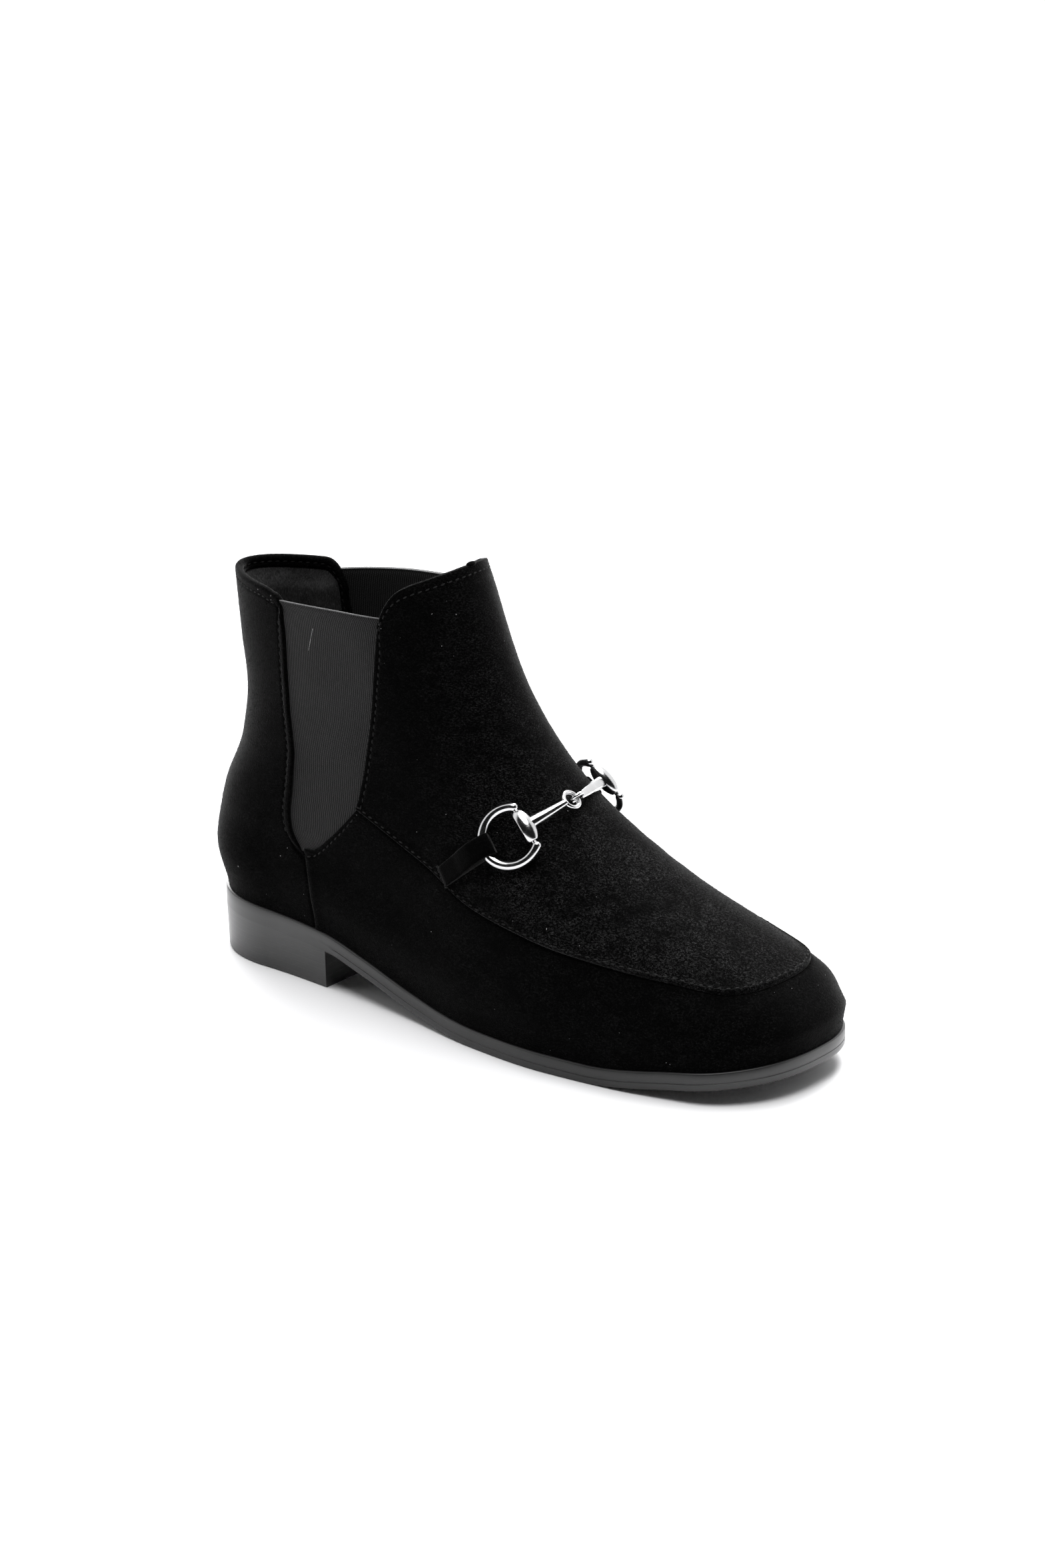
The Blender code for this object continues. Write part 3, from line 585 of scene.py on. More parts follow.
def rolled(distance, radius):
    """Rise from 0 at an edge to 1 at a radius from it, as the quarter of a circle."""
    return np.sqrt(1 - (1 - np.clip(distance / radius, 0, 1)) ** 2)


def groove(distance, line, width):
    """A soft trough, 1 deep on its line."""
    return np.exp(-(((distance - line) / width) ** 2))


def dropped(distance, drop, radius):
    """How much lower a rounded edge lies."""
    return drop * (1 - rolled(distance, radius))


def sewn_edge(distance, edge, stitch):
    """How much lower a folded edge lies: round at its fold, and pulled in along its stitches."""
    return dropped(distance, *edge) + PULL_DEPTH * groove(distance, stitch, PULL_WIDTH)


def walled(points, backs, thread=None):
    """A sheet and its back, joined round their edges; the back's faces take the second material."""
    form = sheet(points, thread)
    fronts = set(form.faces)
    sheet(backs[:, ::-1], None if thread is None else thread[:, ::-1], form)
    for face in form.faces:
        face.material_index = 0 if face in fronts else 1
    bmesh.ops.bridge_loops(form, edges=[edge for edge in form.edges if edge.is_boundary])
    return faced_out(form)


def along_line(away, values, inset):
    """A panel's values on the line that runs a set distance in from its first row."""
    return np.array([interpolated(inset, away[:, j], values[:, j]) for j in range(values.shape[1])])


class Cut:
    """A cut piece of suede on the last: points, directions out of it, distances from its edges."""

    def __init__(self, half, other_half, side):
        self.flat = both_sides(half, other_half, side)
        self.out = outward(self.flat)
        self.low, self.high, self.side = edge_distances(self.flat)

    def raised(self, rise):
        """The piece with its face raised off the last and its lining behind it."""
        self.points = self.flat + self.out * rise[..., None]
        return walled(self.points, self.flat - self.out * WALL)

    def seam(self, inset, view=np.asarray):
        """Places and directions out on a line in from the first row, in a view of rows and columns."""
        away = distance_in(view(self.flat))
        return along_line(away, view(self.points), inset), along_line(away, view(self.out), inset)


def mixed(tree, first, share, second, other_share):
    """Two values added up, each at its share."""
    first = calculate(tree, "MULTIPLY", first, share)
    return calculate(tree, "ADD", first, calculate(tree, "MULTIPLY", second, other_share))


def make_nap():
    """The nap that all the suede shares: a height of fine fibres and a tone of brushed patches."""
    tree = bpy.data.node_groups.new("suede nap", "ShaderNodeTree")
    tree.interface.new_socket("Tone", in_out="OUTPUT", socket_type="NodeSocketFloat")
    tree.interface.new_socket("Height", in_out="OUTPUT", socket_type="NodeSocketFloat")
    where = object_place(tree)
    brushed = object_place(tree, (1.0, 1.0, 2.2), (0.0, math.radians(38), 0.0))
    fibre = noise(tree, where, 2300.0, 2.0, 0.6)
    clump = noise(tree, brushed, 1000.0, 3.0, 0.6)
    streak = noise(tree, brushed, 130.0, 5.0, 0.65)
    mottle = noise(tree, where, 38.0, 4.0, 0.6)
    fine = mixed(tree, fibre, 0.5, clump, 0.5)
    tips = remap(tree, fine, 0.48, 0.66)
    brush = remap(tree, mixed(tree, streak, 0.5, mottle, 0.5), 0.38, 0.62, 0.1)
    add_node(tree, "NodeGroupOutput", Tone=calculate(tree, "MULTIPLY", tips, brush), Height=fine)
    return tree


NAP, NAP_DEPTH = make_nap(), 0.3
# Where the suede's painted light starts and ends along the boot: it grows from the instep to the toe, where
# the vamp faces the lamps above.
PAINTED_LIGHT_FROM_TO = ((105.0, 0.0, 0.0), (165.0, 0.0, 0.0))


def suede_finish(name, dark, light, toe_painted_light, sheen):
    """Black suede: fine raised nap in soft streaks and a sheen, with painted light that makes it lighter
    towards the toe.
    """
    material, tree, shader = new_finish(name, Roughness=0.92, Specular_IOR_Level=0.02, Sheen_Roughness=0.3)
    fill(tree, shader, Sheen_Weight=sheen)
    nap = tree.nodes.new("ShaderNodeGroup")
    nap.node_tree = NAP
    along = add_node(tree, "ShaderNodeSeparateXYZ", Vector=object_place(tree)).outputs["X"]
    # Painted light: the colour of the fibre tips runs from the light tone to a lighter one along the boot, so
    # the suede is lighter towards the toe.
    brushed = remap(tree, along, *place(PAINTED_LIGHT_FROM_TO)[:, 0])
    tips = blend_colours(tree, brushed, grey(light), grey(toe_painted_light))
    tone = blend_colours(tree, nap.outputs["Tone"], grey(dark), tips)
    dress(tree, shader, tone, nap.outputs["Height"], NAP_DEPTH)
    return material


suede = suede_finish("black suede", 0.0002, 0.009, 0.009, 0.15)
# The loose fibres carry the same painted light: their tips grow lighter towards the toe (0.018 to 0.03).
suede_fibre = suede_finish("loose suede fibre", 0.001, 0.018, 0.03, 0.15)
lining_cloth = brushed_cloth("black lining cloth", 0.003, 0.011)

FIBRE_WIDTH, FIBRE_SHORTEST = 0.09, 0.4
FIBRE_LEAN, FIBRE_SCATTER = 0.6, 0.45


def add_fibres(form, points, out, count, length, seed):
    """Loose fibres that stand out of a panel and lean down it, spread evenly over its area."""
    random = np.random.default_rng(seed)
    right = np.diff(points, axis=1)[:-1]
    up = np.diff(points, axis=0)[:, :-1]
    area = np.linalg.norm(np.cross(right, up), axis=-1).ravel()
    cell = random.choice(area.size, count, p=area / area.sum())
    i, j = np.unravel_index(cell, up.shape[:2])
    roots = points[i, j] + right[i, j] * random.random((count, 1)) + up[i, j] * random.random((count, 1))
    lean = unit(out[i, j] - FIBRE_LEAN * unit(up[i, j]) + random.normal(0, FIBRE_SCATTER, (count, 3)))
    beside = np.cross(lean, random.normal(0, 1, (count, 3)))
    beside *= FIBRE_WIDTH / 2 / np.linalg.norm(beside, axis=1, keepdims=True)
    tips = roots + lean * length * random.uniform(FIBRE_SHORTEST, 1.0, (count, 1))
    for corners in zip(place(roots - beside), place(roots + beside), place(tips)):
        form.faces.new([form.verts.new(corner) for corner in corners])


STITCH_PITCH, STITCH_SLANT, STITCH_LIFT = 2.9, 0.12, 0.12
STITCH_SIZES = (0.28, 0.32, 0.9)
STITCH_TANGENT = 0.4


def frame_at(origin, along, out):
    """A place in the frame, sized in millimetres: Z runs along one direction and X leans to another."""
    z = Vector(along).normalized()
    x = Vector(out)
    x = (x - z * x.dot(z)).normalized()
    turned_axes = Matrix((x, z.cross(x), z)).transposed().to_4x4()
    turned_axes.translation = Vector(origin) + Vector(ORIGIN)
    return Matrix.Scale(MM, 4) @ turned_axes


def add_stitch(form, spot, along, way):
    matrix = frame_at(spot, along, way) @ Matrix.Diagonal((*STITCH_SIZES, 1.0))
    bmesh.ops.create_uvsphere(form, u_segments=8, v_segments=6, radius=1.0, matrix=matrix)


def sew(form, line, pitch=STITCH_PITCH):
    """A row of slanted stitches along a line, at an even pitch."""
    spots, ways = line
    along = distance_in(spots)
    count = int(along[-1] / pitch)
    for k in range(count):
        at = (k + 0.5) * along[-1] / count
        spot, way = interpolated(at, along, spots), interpolated(at, along, ways)
        tangent = unit(interpolated(at + STITCH_TANGENT * pitch, along, spots) - spot)
        slant = np.cross(way, tangent) * STITCH_SLANT
        add_stitch(form, spot + way * STITCH_LIFT, tangent + slant, way)


def thread_finish():
    """Black waxed thread with the fine twist of its plies."""
    material, tree, shader = new_finish("black thread", Roughness=0.7, Specular_IOR_Level=0.15)
    twist = noise(tree, object_place(tree), 3200.0, 2.0)
    dress(tree, shader, blend_colours(tree, twist, grey(0.002), grey(0.011)), twist, 0.12)
    return material


thread = thread_finish()


def notch_back(z, side):
    return read(NOTCH, "z", SIDE_NAMES[side], z)


def side_seam(z):
    return np.interp(z, column(SIDE_SEAM, "z"), column(SIDE_SEAM, "x"))


def rear_edge(z, side):
    """The rear panel's front edge: beside the elastic, and below it under the skirt."""
    beside_gore = notch_back(np.minimum(z, REAR_STRAIGHT_FROM), side)
    return between(side_seam(z) + REAR_UNDERLAP, beside_gore, ease(UNDER_SKIRT, NOTCH[0].z, z))


def round_corner(half, radius):
    """Rounds the upper corner of a half panel beside its first column."""
    away = np.abs(half[..., 0] - half[:, :1, 0])
    fall = radius * (1 - np.clip(away / radius, 0, 1)) ** 2
    share = np.clip(1 - (half[-1:, :, 1] - half[..., 1]) / (3 * radius), 0, 1)
    return half - np.stack([np.zeros(fall.shape), fall * share], -1)


def seen(x, z):
    """Points seen from the side."""
    return np.stack([x, z], -1)


def rear_half(side):
    """Half of the rear panel seen from the side, from its front edge to the middle of the back."""
    across, up = spread(REAR_COLUMNS), spread(REAR_ROWS)
    x = between(rear_edge(SIDE_SEAM[0].z, side), SEAT_X, across)
    bottom = seen(x, sole_top(x) - SUEDE_TUCK)
    corner_x = rear_edge(COLLAR_DIP, side)
    x = between(corner_x, BACK[-1].x, across)
    top = seen(x, between(COLLAR_DIP, read(COLLAR, "x", "z", x), ease(0, REAR_CORNER_EASE, corner_x - x)))
    z = between(bottom[0, 1], top[0, 1], up)
    left = seen(rear_edge(z, side), z)
    left[0] = bottom[0]
    z = between(bottom[-1, 1], top[-1, 1], up)
    right = seen(read(BACK, "z", "x", z), z)
    right[0] = bottom[-1]
    return round_corner(patch(bottom, top, left, right, across, up), REAR_CORNER_RADIUS[side])


rear_cut = Cut(rear_half(INNER), rear_half(OUTER), INNER)
beside_gore = ease(WELT_FROM, WELT_TO, rear_cut.flat[..., 2])
welt = WELT * beside_gore * np.sqrt(np.clip(1 - rear_cut.side / REAR_STITCH, 0, 1))
rise = welt * rolled(rear_cut.side, WELT_RADIUS) - dropped(rear_cut.low, *FEATHER_EDGE)
rise -= REAR_PULL_DEPTH * beside_gore * groove(rear_cut.side, REAR_STITCH, REAR_PULL_WIDTH)
rise -= UNDERLAP_DROP * (1 - beside_gore) * (1 - ease(UNDERLAP_FROM, UNDERLAP_TO, rear_cut.side))
rise -= sewn_edge(rear_cut.high, REAR_COLLAR_EDGE, REAR_COLLAR_STITCH)
rear_panel = add_piece("rear_panel", rear_cut.raised(rise), "suede", suede, lining_cloth)
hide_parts("upper")

form = bmesh.new()
heights = rear_cut.flat[:, 0, 2]
rows = slice(np.argmax(heights > REAR_STITCH_FROM), np.argmax(heights > REAR_STITCH_TO))
columns = slice(COLLAR_STITCH_START, -COLLAR_STITCH_START)
sew(form, rear_cut.seam(REAR_STITCH, lambda values: turned(values[rows])))
sew(form, rear_cut.seam(REAR_STITCH, lambda values: turned(values[rows])[::-1]))
sew(form, rear_cut.seam(REAR_COLLAR_STITCH, lambda values: values[::-1, columns]))
add_piece("rear_panel_stitches", closed(form), "suede", thread)


# Skirt: a strip of suede that wraps the sides and the toe, pulled over the last and glued under. Its
# back edges lap over the rear panel as plain seams, and its top edge turns under the front panel.
APRON_STEP = 0.9
APRON_SEAM = table(
    "x z",
    (82, 75.0), (102, 67.6), (122, 60.4), (137, 53.6), (148, 50.8), (164, 48.2), (179, 45.9),
    (196, 43.9), (211, 42.2), (226, 40.4), (237, 38.8), (245, 38.0), (251, 38.0),
)
GORE_FOOT = table("x z", (55.4, 53.0), (59, 53.4), (63.5, 56.0), (68, 60.0), (74, 66.0), (82, 75.0))
SKIRT_ROWS, SKIRT_GORE_COLUMNS, SKIRT_TOE_COLUMNS = 50, 22, 110
SKIRT_BELOW_CORNER = 84.0
UNDER_APRON_FROM, UNDER_APRON_TO = 81.0, 85.0
SEAM_DIP, SEAM_DIP_WIDTH = 0.5, 0.8
SKIRT_PROUD, SKIRT_PROUD_FROM, SKIRT_PROUD_TO = 0.3, 1.5, 6.0
SKIRT_BACK_EDGE, SKIRT_GORE_EDGE = (0.6, 0.9), (0.5, 0.8)
GORE_STITCH = 2.4


def skirt_half():
    """Half of the skirt seen from the side, from its back seam to the middle of the toe."""
    up = spread(SKIRT_ROWS)
    gore_share = np.linspace(0, 1, SKIRT_GORE_COLUMNS)[:-1]
    toe_share = toward_end(SKIRT_TOE_COLUMNS)
    x = between(GORE_FOOT[0].x, GORE_FOOT[-1].x, gore_share)
    gore_part = seen(x, read(GORE_FOOT, "x", "z", x))
    x = between(APRON_SEAM[0].x, APRON_SEAM[-1].x, toe_share)
    top = np.concatenate([gore_part, seen(x, read(APRON_SEAM, "x", "z", x))])
    below_gore = between(SIDE_SEAM[0].x, SKIRT_BELOW_CORNER, gore_share)
    x = np.concatenate([below_gore, between(SKIRT_BELOW_CORNER, TOE_X, toe_share)])
    bottom = seen(x, sole_top(x) - SUEDE_TUCK)
    z = between(bottom[0, 1], top[0, 1], up)
    left = seen(side_seam(z), z)
    left[0], left[-1] = bottom[0], top[0]
    right = FRONT_LINE.at(between(0, FRONT_LINE.knot("apron_end"), up))
    right[0] = bottom[-1]
    return patch(bottom, top, left, right, (x - x[0]) / (x[-1] - x[0]), up)


skirt_cut = Cut(skirt_half(), skirt_half(), OUTER)
under_apron = ease(UNDER_APRON_FROM, UNDER_APRON_TO, skirt_cut.flat[-1, :, 0])[None, :]
proud = SKIRT_PROUD * (1 - ease(SKIRT_PROUD_FROM, SKIRT_PROUD_TO, skirt_cut.side))
rise = -dropped(skirt_cut.low, *FEATHER_EDGE)
rise += proud - dropped(skirt_cut.side, *SKIRT_BACK_EDGE)
rise -= under_apron * SEAM_DIP * groove(skirt_cut.high, 0.0, SEAM_DIP_WIDTH)
rise -= (1 - under_apron) * sewn_edge(skirt_cut.high, SKIRT_GORE_EDGE, GORE_STITCH)
skirt = add_piece("skirt", skirt_cut.raised(rise), "suede", suede, lining_cloth)
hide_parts("upper")

form = bmesh.new()
for columns in (slice(1, SKIRT_GORE_COLUMNS - 1), slice(1 - SKIRT_GORE_COLUMNS, -1)):
    sew(form, skirt_cut.seam(GORE_STITCH, lambda values: values[::-1, columns]))
add_piece("skirt_stitches", closed(form), "suede", thread)


# Front panel: the front of the shaft and the raised apron in one piece of suede, from the collar's
# peak to the squared toe. Its lower edge is rolled over a cord and stitched down on the skirt.
FRONT_COLUMNS, FRONT_ROWS = 90, 110
ROLL_RADIUS, ROLL_ROOT, ROLL_STITCH, ROLL_PITCH = 1.0, 1.0, 1.9, 3.3
ROLL_PUFF, ROLL_PUFF_LINE, ROLL_PUFF_WIDTH = 0.75, 1.5, 1.2
ROLL_PULL_DEPTH, ROLL_PULL_WIDTH = 0.4, 0.4
FRONT_GORE_EDGE, FRONT_COLLAR_EDGE = (0.6, 0.8), (0.6, 0.9)
COLLAR_STITCH = 3.4
FRONT_CORNER_RADIUS, FRONT_STRAIGHT_FROM, FRONT_FOOT_BLEND = 6.0, 147.0, 8.0
MEETING_SAMPLES = 400


def front_edge(z):
    """The front panel's back edge, beside the elastic, which starts where the apron seam starts."""
    foot = APRON_SEAM[0]
    lead = foot.x - read(NOTCH, "z", "front", foot.z)
    edge = read(NOTCH, "z", "front", np.minimum(z, FRONT_STRAIGHT_FROM))
    return edge + lead * (1 - ease(foot.z, foot.z + FRONT_FOOT_BLEND, z))


def front_half():
    """Half of the front panel seen from the side, from its gore edge to the ridge."""
    across, up = spread(FRONT_COLUMNS), spread(FRONT_ROWS)
    x = between(APRON_SEAM[0].x, APRON_SEAM[-1].x, across)
    bottom = seen(x, read(APRON_SEAM, "x", "z", x))
    heights = np.linspace(COLLAR_CLIMB, COLLAR_PEAK, MEETING_SAMPLES)
    meets = np.abs(read(COLLAR, "x", "z", front_edge(heights)) - heights)
    z = between(APRON_SEAM[0].z, heights[np.argmin(meets)], up)
    left = seen(front_edge(z), z)
    left[0] = bottom[0]
    x = between(left[-1, 0], FRONT[-1].x, across)
    top = seen(x, read(COLLAR, "x", "z", x))
    right = FRONT_LINE.at(between(FRONT_LINE.knot("apron_end"), FRONT_LINE.knots[-1], up))
    return round_corner(patch(bottom, top, left, right, across, up), FRONT_CORNER_RADIUS)


# Soft folds from the lasting and the first wear, seen from the side.
FOLDS = table(
    "x z to_x to_z depth width",
    (86, 82, 140, 106, 0.5, 6.0), (100, 92, 128, 124, 0.3, 5.0),
    (160, 46, 176, 74, 0.3, 4.0), (171, 44, 186, 68, 0.25, 3.5),
)


def folded(flat):
    """How far the soft folds sink at each point of a panel."""
    x, z = flat[..., 0], flat[..., 2]
    sink = np.zeros(x.shape)
    for fold in FOLDS:
        run, climb = fold.to_x - fold.x, fold.to_z - fold.z
        length = math.hypot(run, climb)
        along = ((x - fold.x) * run + (z - fold.z) * climb) / length
        away = ((z - fold.z) * run - (x - fold.x) * climb) / length
        fade = ease(0, length / 3, along) * (1 - ease(length * 2 / 3, length, along))
        sink += fold.depth * fade * groove(away, 0.0, fold.width)
    return sink


front_cut = Cut(front_half(), front_half(), OUTER)
rise = -ROLL_ROOT + (APRON_STEP + ROLL_ROOT) * rolled(front_cut.low, ROLL_RADIUS)
puff = ROLL_PUFF * groove(front_cut.low, ROLL_PUFF_LINE, ROLL_PUFF_WIDTH)
rise += puff - ROLL_PULL_DEPTH * groove(front_cut.low, ROLL_STITCH, ROLL_PULL_WIDTH)
rise -= sewn_edge(front_cut.side, FRONT_GORE_EDGE, GORE_STITCH)
rise -= sewn_edge(front_cut.high, FRONT_COLLAR_EDGE, COLLAR_STITCH)
rise -= folded(front_cut.flat)
# The front panel's nap is painted lighter from the instep to the toe (tips 0.007 to 0.042), standing in for
# the light that falls on the vamp from above.
front_suede = suede_finish("black suede, brushed", 0.0002, 0.007, 0.042, 0.15)
front_panel = add_piece("front_panel", front_cut.raised(rise), "suede", front_suede, lining_cloth)
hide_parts("upper")

form = bmesh.new()
sew(form, front_cut.seam(ROLL_STITCH), ROLL_PITCH)
sew(form, front_cut.seam(GORE_STITCH, turned))
sew(form, front_cut.seam(GORE_STITCH, lambda values: turned(values)[::-1]))
sew(form, front_cut.seam(COLLAR_STITCH, lambda values: values[::-1]))
add_piece("front_panel_stitches", closed(form), "suede", thread)


# Collar edges: the suede is turned over the collar and down beside the elastic, and stitched inside.
# Below the turned edge lies a strip of padded plush lining, whose fibres show in the open collar.
TURNED_FROM, TURNED_STEP, TURNED_SOFTEN = 108.0, 0.8, 5
TURNED_FIBRES, TURNED_FIBRE_LENGTH = 3500, 0.8
TURNED_EDGE = table(
    "into depth",
    (0.9, 0.02), (0.3, -0.1), (-0.1, -0.45), (-0.25, -1.0), (-0.2, -1.7), (0.1, -2.5), (0.8, -3.0),
    (1.7, -3.1), (2.3, -2.75), (2.9, -3.1), (3.8, -3.0), (4.4, -2.6), (4.6, -1.9),
)
TURNED_STITCH = TURNED_EDGE[8]
FACINGS = table(
    "name cut end rows padding fibres length",
    ("rear", rear_cut, 48.0, 60, 2.6, 9000, 1.5),
    ("front", front_cut, 40.0, 50, 0.9, 6000, 1.0),
)
PLUSH_TOP, PLUSH_SIDE_COLUMNS = 4.3, 12
PLUSH_THICKNESS, PLUSH_RADIUS, PLUSH_SUNK = 0.9, 0.9, 0.1
PADDING_FROM, PADDING_TO = 0.3, 8.0
plush = brushed_cloth("black plush", 0.002, 0.034)


def round_top(cut, values):
    """A panel's values up its first column, along its top row and down its last column."""
    start = np.argmax(cut.flat[:, 0, 2] > TURNED_FROM)
    return np.concatenate([values[start:, 0], values[-1, 1:-1], values[start:, -1][::-1]])


def evened(path, values):
    """Values along a path at even steps, softened so that its corners are round."""
    along = distance_in(path)
    even = interpolated(np.linspace(0, along[-1], int(along[-1] / TURNED_STEP)), along, values)
    for _ in range(TURNED_SOFTEN):
        even[1:-1] = (even[:-2] + 2 * even[1:-1] + even[2:]) / 4
    return even


def band_below(facing, values):
    """A panel's values in rows from below its turned edge down to a facing's end, lowest first."""
    down = distance_in(facing.cut.flat[::-1])
    insets = np.linspace(facing.end, PLUSH_TOP, facing.rows)
    rows = np.array([along_line(down, values[::-1], inset) for inset in insets])
    return rows[:, PLUSH_SIDE_COLUMNS:-PLUSH_SIDE_COLUMNS]


for seed, facing in enumerate(FACINGS):
    flat, out_of_cut = facing.cut.flat, facing.cut.out
    path = round_top(facing.cut, flat)
    edge, out = evened(path, path), unit(evened(path, round_top(facing.cut, out_of_cut)))
    into = unit(np.cross(np.gradient(edge, axis=0), out))
    into *= np.sign(np.sum(into * (flat.mean((0, 1)) - edge), 1))[:, None]
    turned_edge = np.array([edge + into * turn.into + out * turn.depth for turn in TURNED_EDGE])
    form = faced_out(sheet(turned_edge))
    add_fibres(form, turned_edge, outward(turned_edge), TURNED_FIBRES, TURNED_FIBRE_LENGTH, seed)
    add_piece(facing.name + "_turned_edge", form, "suede", suede)
    form = bmesh.new()
    sew(form, (edge + into * TURNED_STITCH.into + out * TURNED_STITCH.depth, -out))
    add_piece(facing.name + "_turned_edge_stitches", closed(form), "suede", thread)

    base, inward = band_below(facing, flat), -band_below(facing, out_of_cut)
    edges = np.minimum.reduce(edge_distances(base))
    thick = PLUSH_THICKNESS * rolled(edges, PLUSH_RADIUS)
    thick += facing.padding * ease(PADDING_FROM, PADDING_TO, edges)
    face = (base + inward * (WALL + thick)[..., None])[:, ::-1]
    form = walled(face, (base + inward * (WALL - PLUSH_SUNK))[:, ::-1])
    add_fibres(form, face, inward[:, ::-1], facing.fibres, facing.length, seed)
    add_piece(facing.name + "_plush", form, "sock", plush, plush)

# A small knot of folded suede at the collar's peak, in the middle of the turned edge.
KNOT_SIZES = (1.3, 2.6, 1.1)
peak = front_cut.flat[-1, front_cut.flat.shape[1] // 2]
knot = frame_at(peak, (0.0, 0.0, 1.0), (1.0, 0.0, 0.0)) @ Matrix.Diagonal((*KNOT_SIZES, 1.0))
form = bmesh.new()
bmesh.ops.create_uvsphere(form, u_segments=16, v_segments=10, radius=1.0, matrix=knot)
add_piece("collar_knot", form, "suede", suede)

# Loose fibres of the nap, which soften the outline of every panel.
NAP_LENGTH = 0.6
NAPS = table(
    "name cut fibres seed",
    ("rear_nap", rear_cut, 40000, 21),
    ("skirt_nap", skirt_cut, 45000, 22),
    ("front_nap", front_cut, 65000, 23),
)
for nap in NAPS:
    form = bmesh.new()
    add_fibres(form, nap.cut.points, nap.cut.out, nap.fibres, NAP_LENGTH, nap.seed)
    add_piece(nap.name, form, "suede", suede_fibre)


# Gores: two panels of woven elastic, sewn in behind the suede. The weave has fine upright ribs, and
# its woven selvage along the top stands out a little, darker with a pale line on its edge.
GORE_TOP = table(
    "x outer inner",
    (22, 144.0, 144.0), (30, 145.0, 145.2), (45, 146.8, 147.6), (65, 148.4, 150.2), (92, 149.6, 152.2),
)
GORE_INSET, GORE_THICKNESS, GORE_LAP = 0.8, 1.1, 1.2
GORE_ROWS, GORE_COLUMNS, GORE_PASSES = 110, 50, 5
SELVAGE, SELVAGE_RISE, SELVAGE_LINE = 1.7, 0.3, 0.25
RIB, WEFT = 0.95, 0.7


def gore_points(side):
    """Points of a gore, wider than its notch by the lap, from its foot to its top edge."""
    share, across = np.meshgrid(spread(GORE_ROWS), np.linspace(0, 1, GORE_COLUMNS), indexing="ij")
    bottom = NOTCH[0].z - GORE_LAP
    top = SIDE_NAMES[side]
    z = np.full(share.shape, bottom)
    for _ in range(GORE_PASSES):
        back = notch_back(z, side) - GORE_LAP
        front = read(NOTCH, "z", "front", z) + GORE_LAP
        x = between(back, front, across)
        z = between(bottom, read(GORE_TOP, "x", top, x), share)
    below_top = read(GORE_TOP, "x", top, x) - z
    inset = GORE_INSET - SELVAGE_RISE * groove(below_top, SELVAGE / 2, SELVAGE / 2)
    y = middle(x) + side * (half_width(x, z, side) - inset)
    return np.stack([x, y, z], -1)


def weave_finish():
    """Dark grey elastic: upright ribs crossed by weft threads, and a darker selvage with a pale edge."""
    constants = {"Roughness": 0.8, "Specular_IOR_Level": 0.15, "Sheen_Weight": 0.05}
    material, tree, shader = new_finish("grey elastic weave", **constants)
    threads = tree.nodes.new("ShaderNodeUVMap").outputs["UV"]
    split = add_node(tree, "ShaderNodeSeparateXYZ", Vector=threads)
    across, down = split.outputs["X"], split.outputs["Y"]
    wobble = noise(tree, object_place(tree), 500.0, 2.0)
    across = calculate(tree, "ADD", across, calculate(tree, "MULTIPLY", wobble, 0.25))
    rib = calculate(tree, "SINE", calculate(tree, "MULTIPLY", across, 2 * math.pi / RIB))
    row = calculate(tree, "FLOOR", calculate(tree, "DIVIDE", across, RIB))
    offset = calculate(tree, "MULTIPLY", calculate(tree, "MODULO", row, 2.0), WEFT / 2)
    along = calculate(tree, "ADD", down, offset)
    weft = calculate(tree, "SINE", calculate(tree, "MULTIPLY", along, 2 * math.pi / WEFT))
    height = calculate(tree, "ADD", mixed(tree, rib, 0.36, weft, 0.14), 0.5)
    fade = noise(tree, object_place(tree), 45.0, 3.0)
    level = calculate(tree, "POWER", height, 2.0)
    level = calculate(tree, "MULTIPLY", level, remap(tree, fade, 0.3, 0.7, 0.8, 1.15))
    level = calculate(tree, "MULTIPLY", level, remap(tree, down, SELVAGE, SELVAGE * 1.4, 0.45, 1.0))
    tone = blend_colours(tree, level, grey(0.0005), grey(0.028))
    edge = remap(tree, down, SELVAGE_LINE, 2 * SELVAGE_LINE, 1.0, 0.0)
    dress(tree, shader, blend_colours(tree, edge, tone, grey(0.12)), height, 0.25)
    return material


elastic = weave_finish()
for side, name in SIDE_NAMES.items():
    points = gore_points(side)
    if side == INNER:
        points = points[:, ::-1]
    across = distance_in(turned(points)).T
    down = distance_in(points[::-1])[::-1]
    form = walled(points, points - outward(points) * GORE_THICKNESS, np.stack([across, down], -1))
    gore = add_piece("gore_elastic_" + name, form, "elastic", elastic, elastic)
    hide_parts("gore_" + name)


# Snaffle: two polished links hooked together over the instep. Each ends in a barrel cap on the pin of
# an open cheek ring, all cast in white metal and plated.
SNAFFLE_FALL = math.radians(39)
CAP_GIRTH = {OUTER: 25.0, INNER: 22.8}
CAP_LIFT = {OUTER: 4.4, INNER: 4.3}
CAP_AHEAD = {OUTER: 2.5, INNER: -1.6}
CAP_SIZES = (3.1, 3.6, 6.5)
CAP_END, CAP_FLAT = 0.9, 0.6
RING_RADIUS, RING_WIRE, RING_OFFSET = 10.8, 1.7, 6.6
PIN_RADIUS = 0.9
EYE_AHEAD, EYE_GIRTH, EYE_OFFSET, EYE_LIFT = 1.2, 5.0, 1.5, 3.9
EYE_RADIUS, EYE_WIRE = 3.3, 0.85
HOOK_RADIUS, HOOK_WIRE = 2.6, 0.75
BAR_TIP, BAR_ROOT = 1.3, 2.7
PADDLE_TIP, PADDLE_ROOT, PADDLE_FLATNESS = 1.3, 2.6, 0.5
LOOP_LIFT = 3.2
WIRE_SIDES, WIRE_STEPS = 20, 72


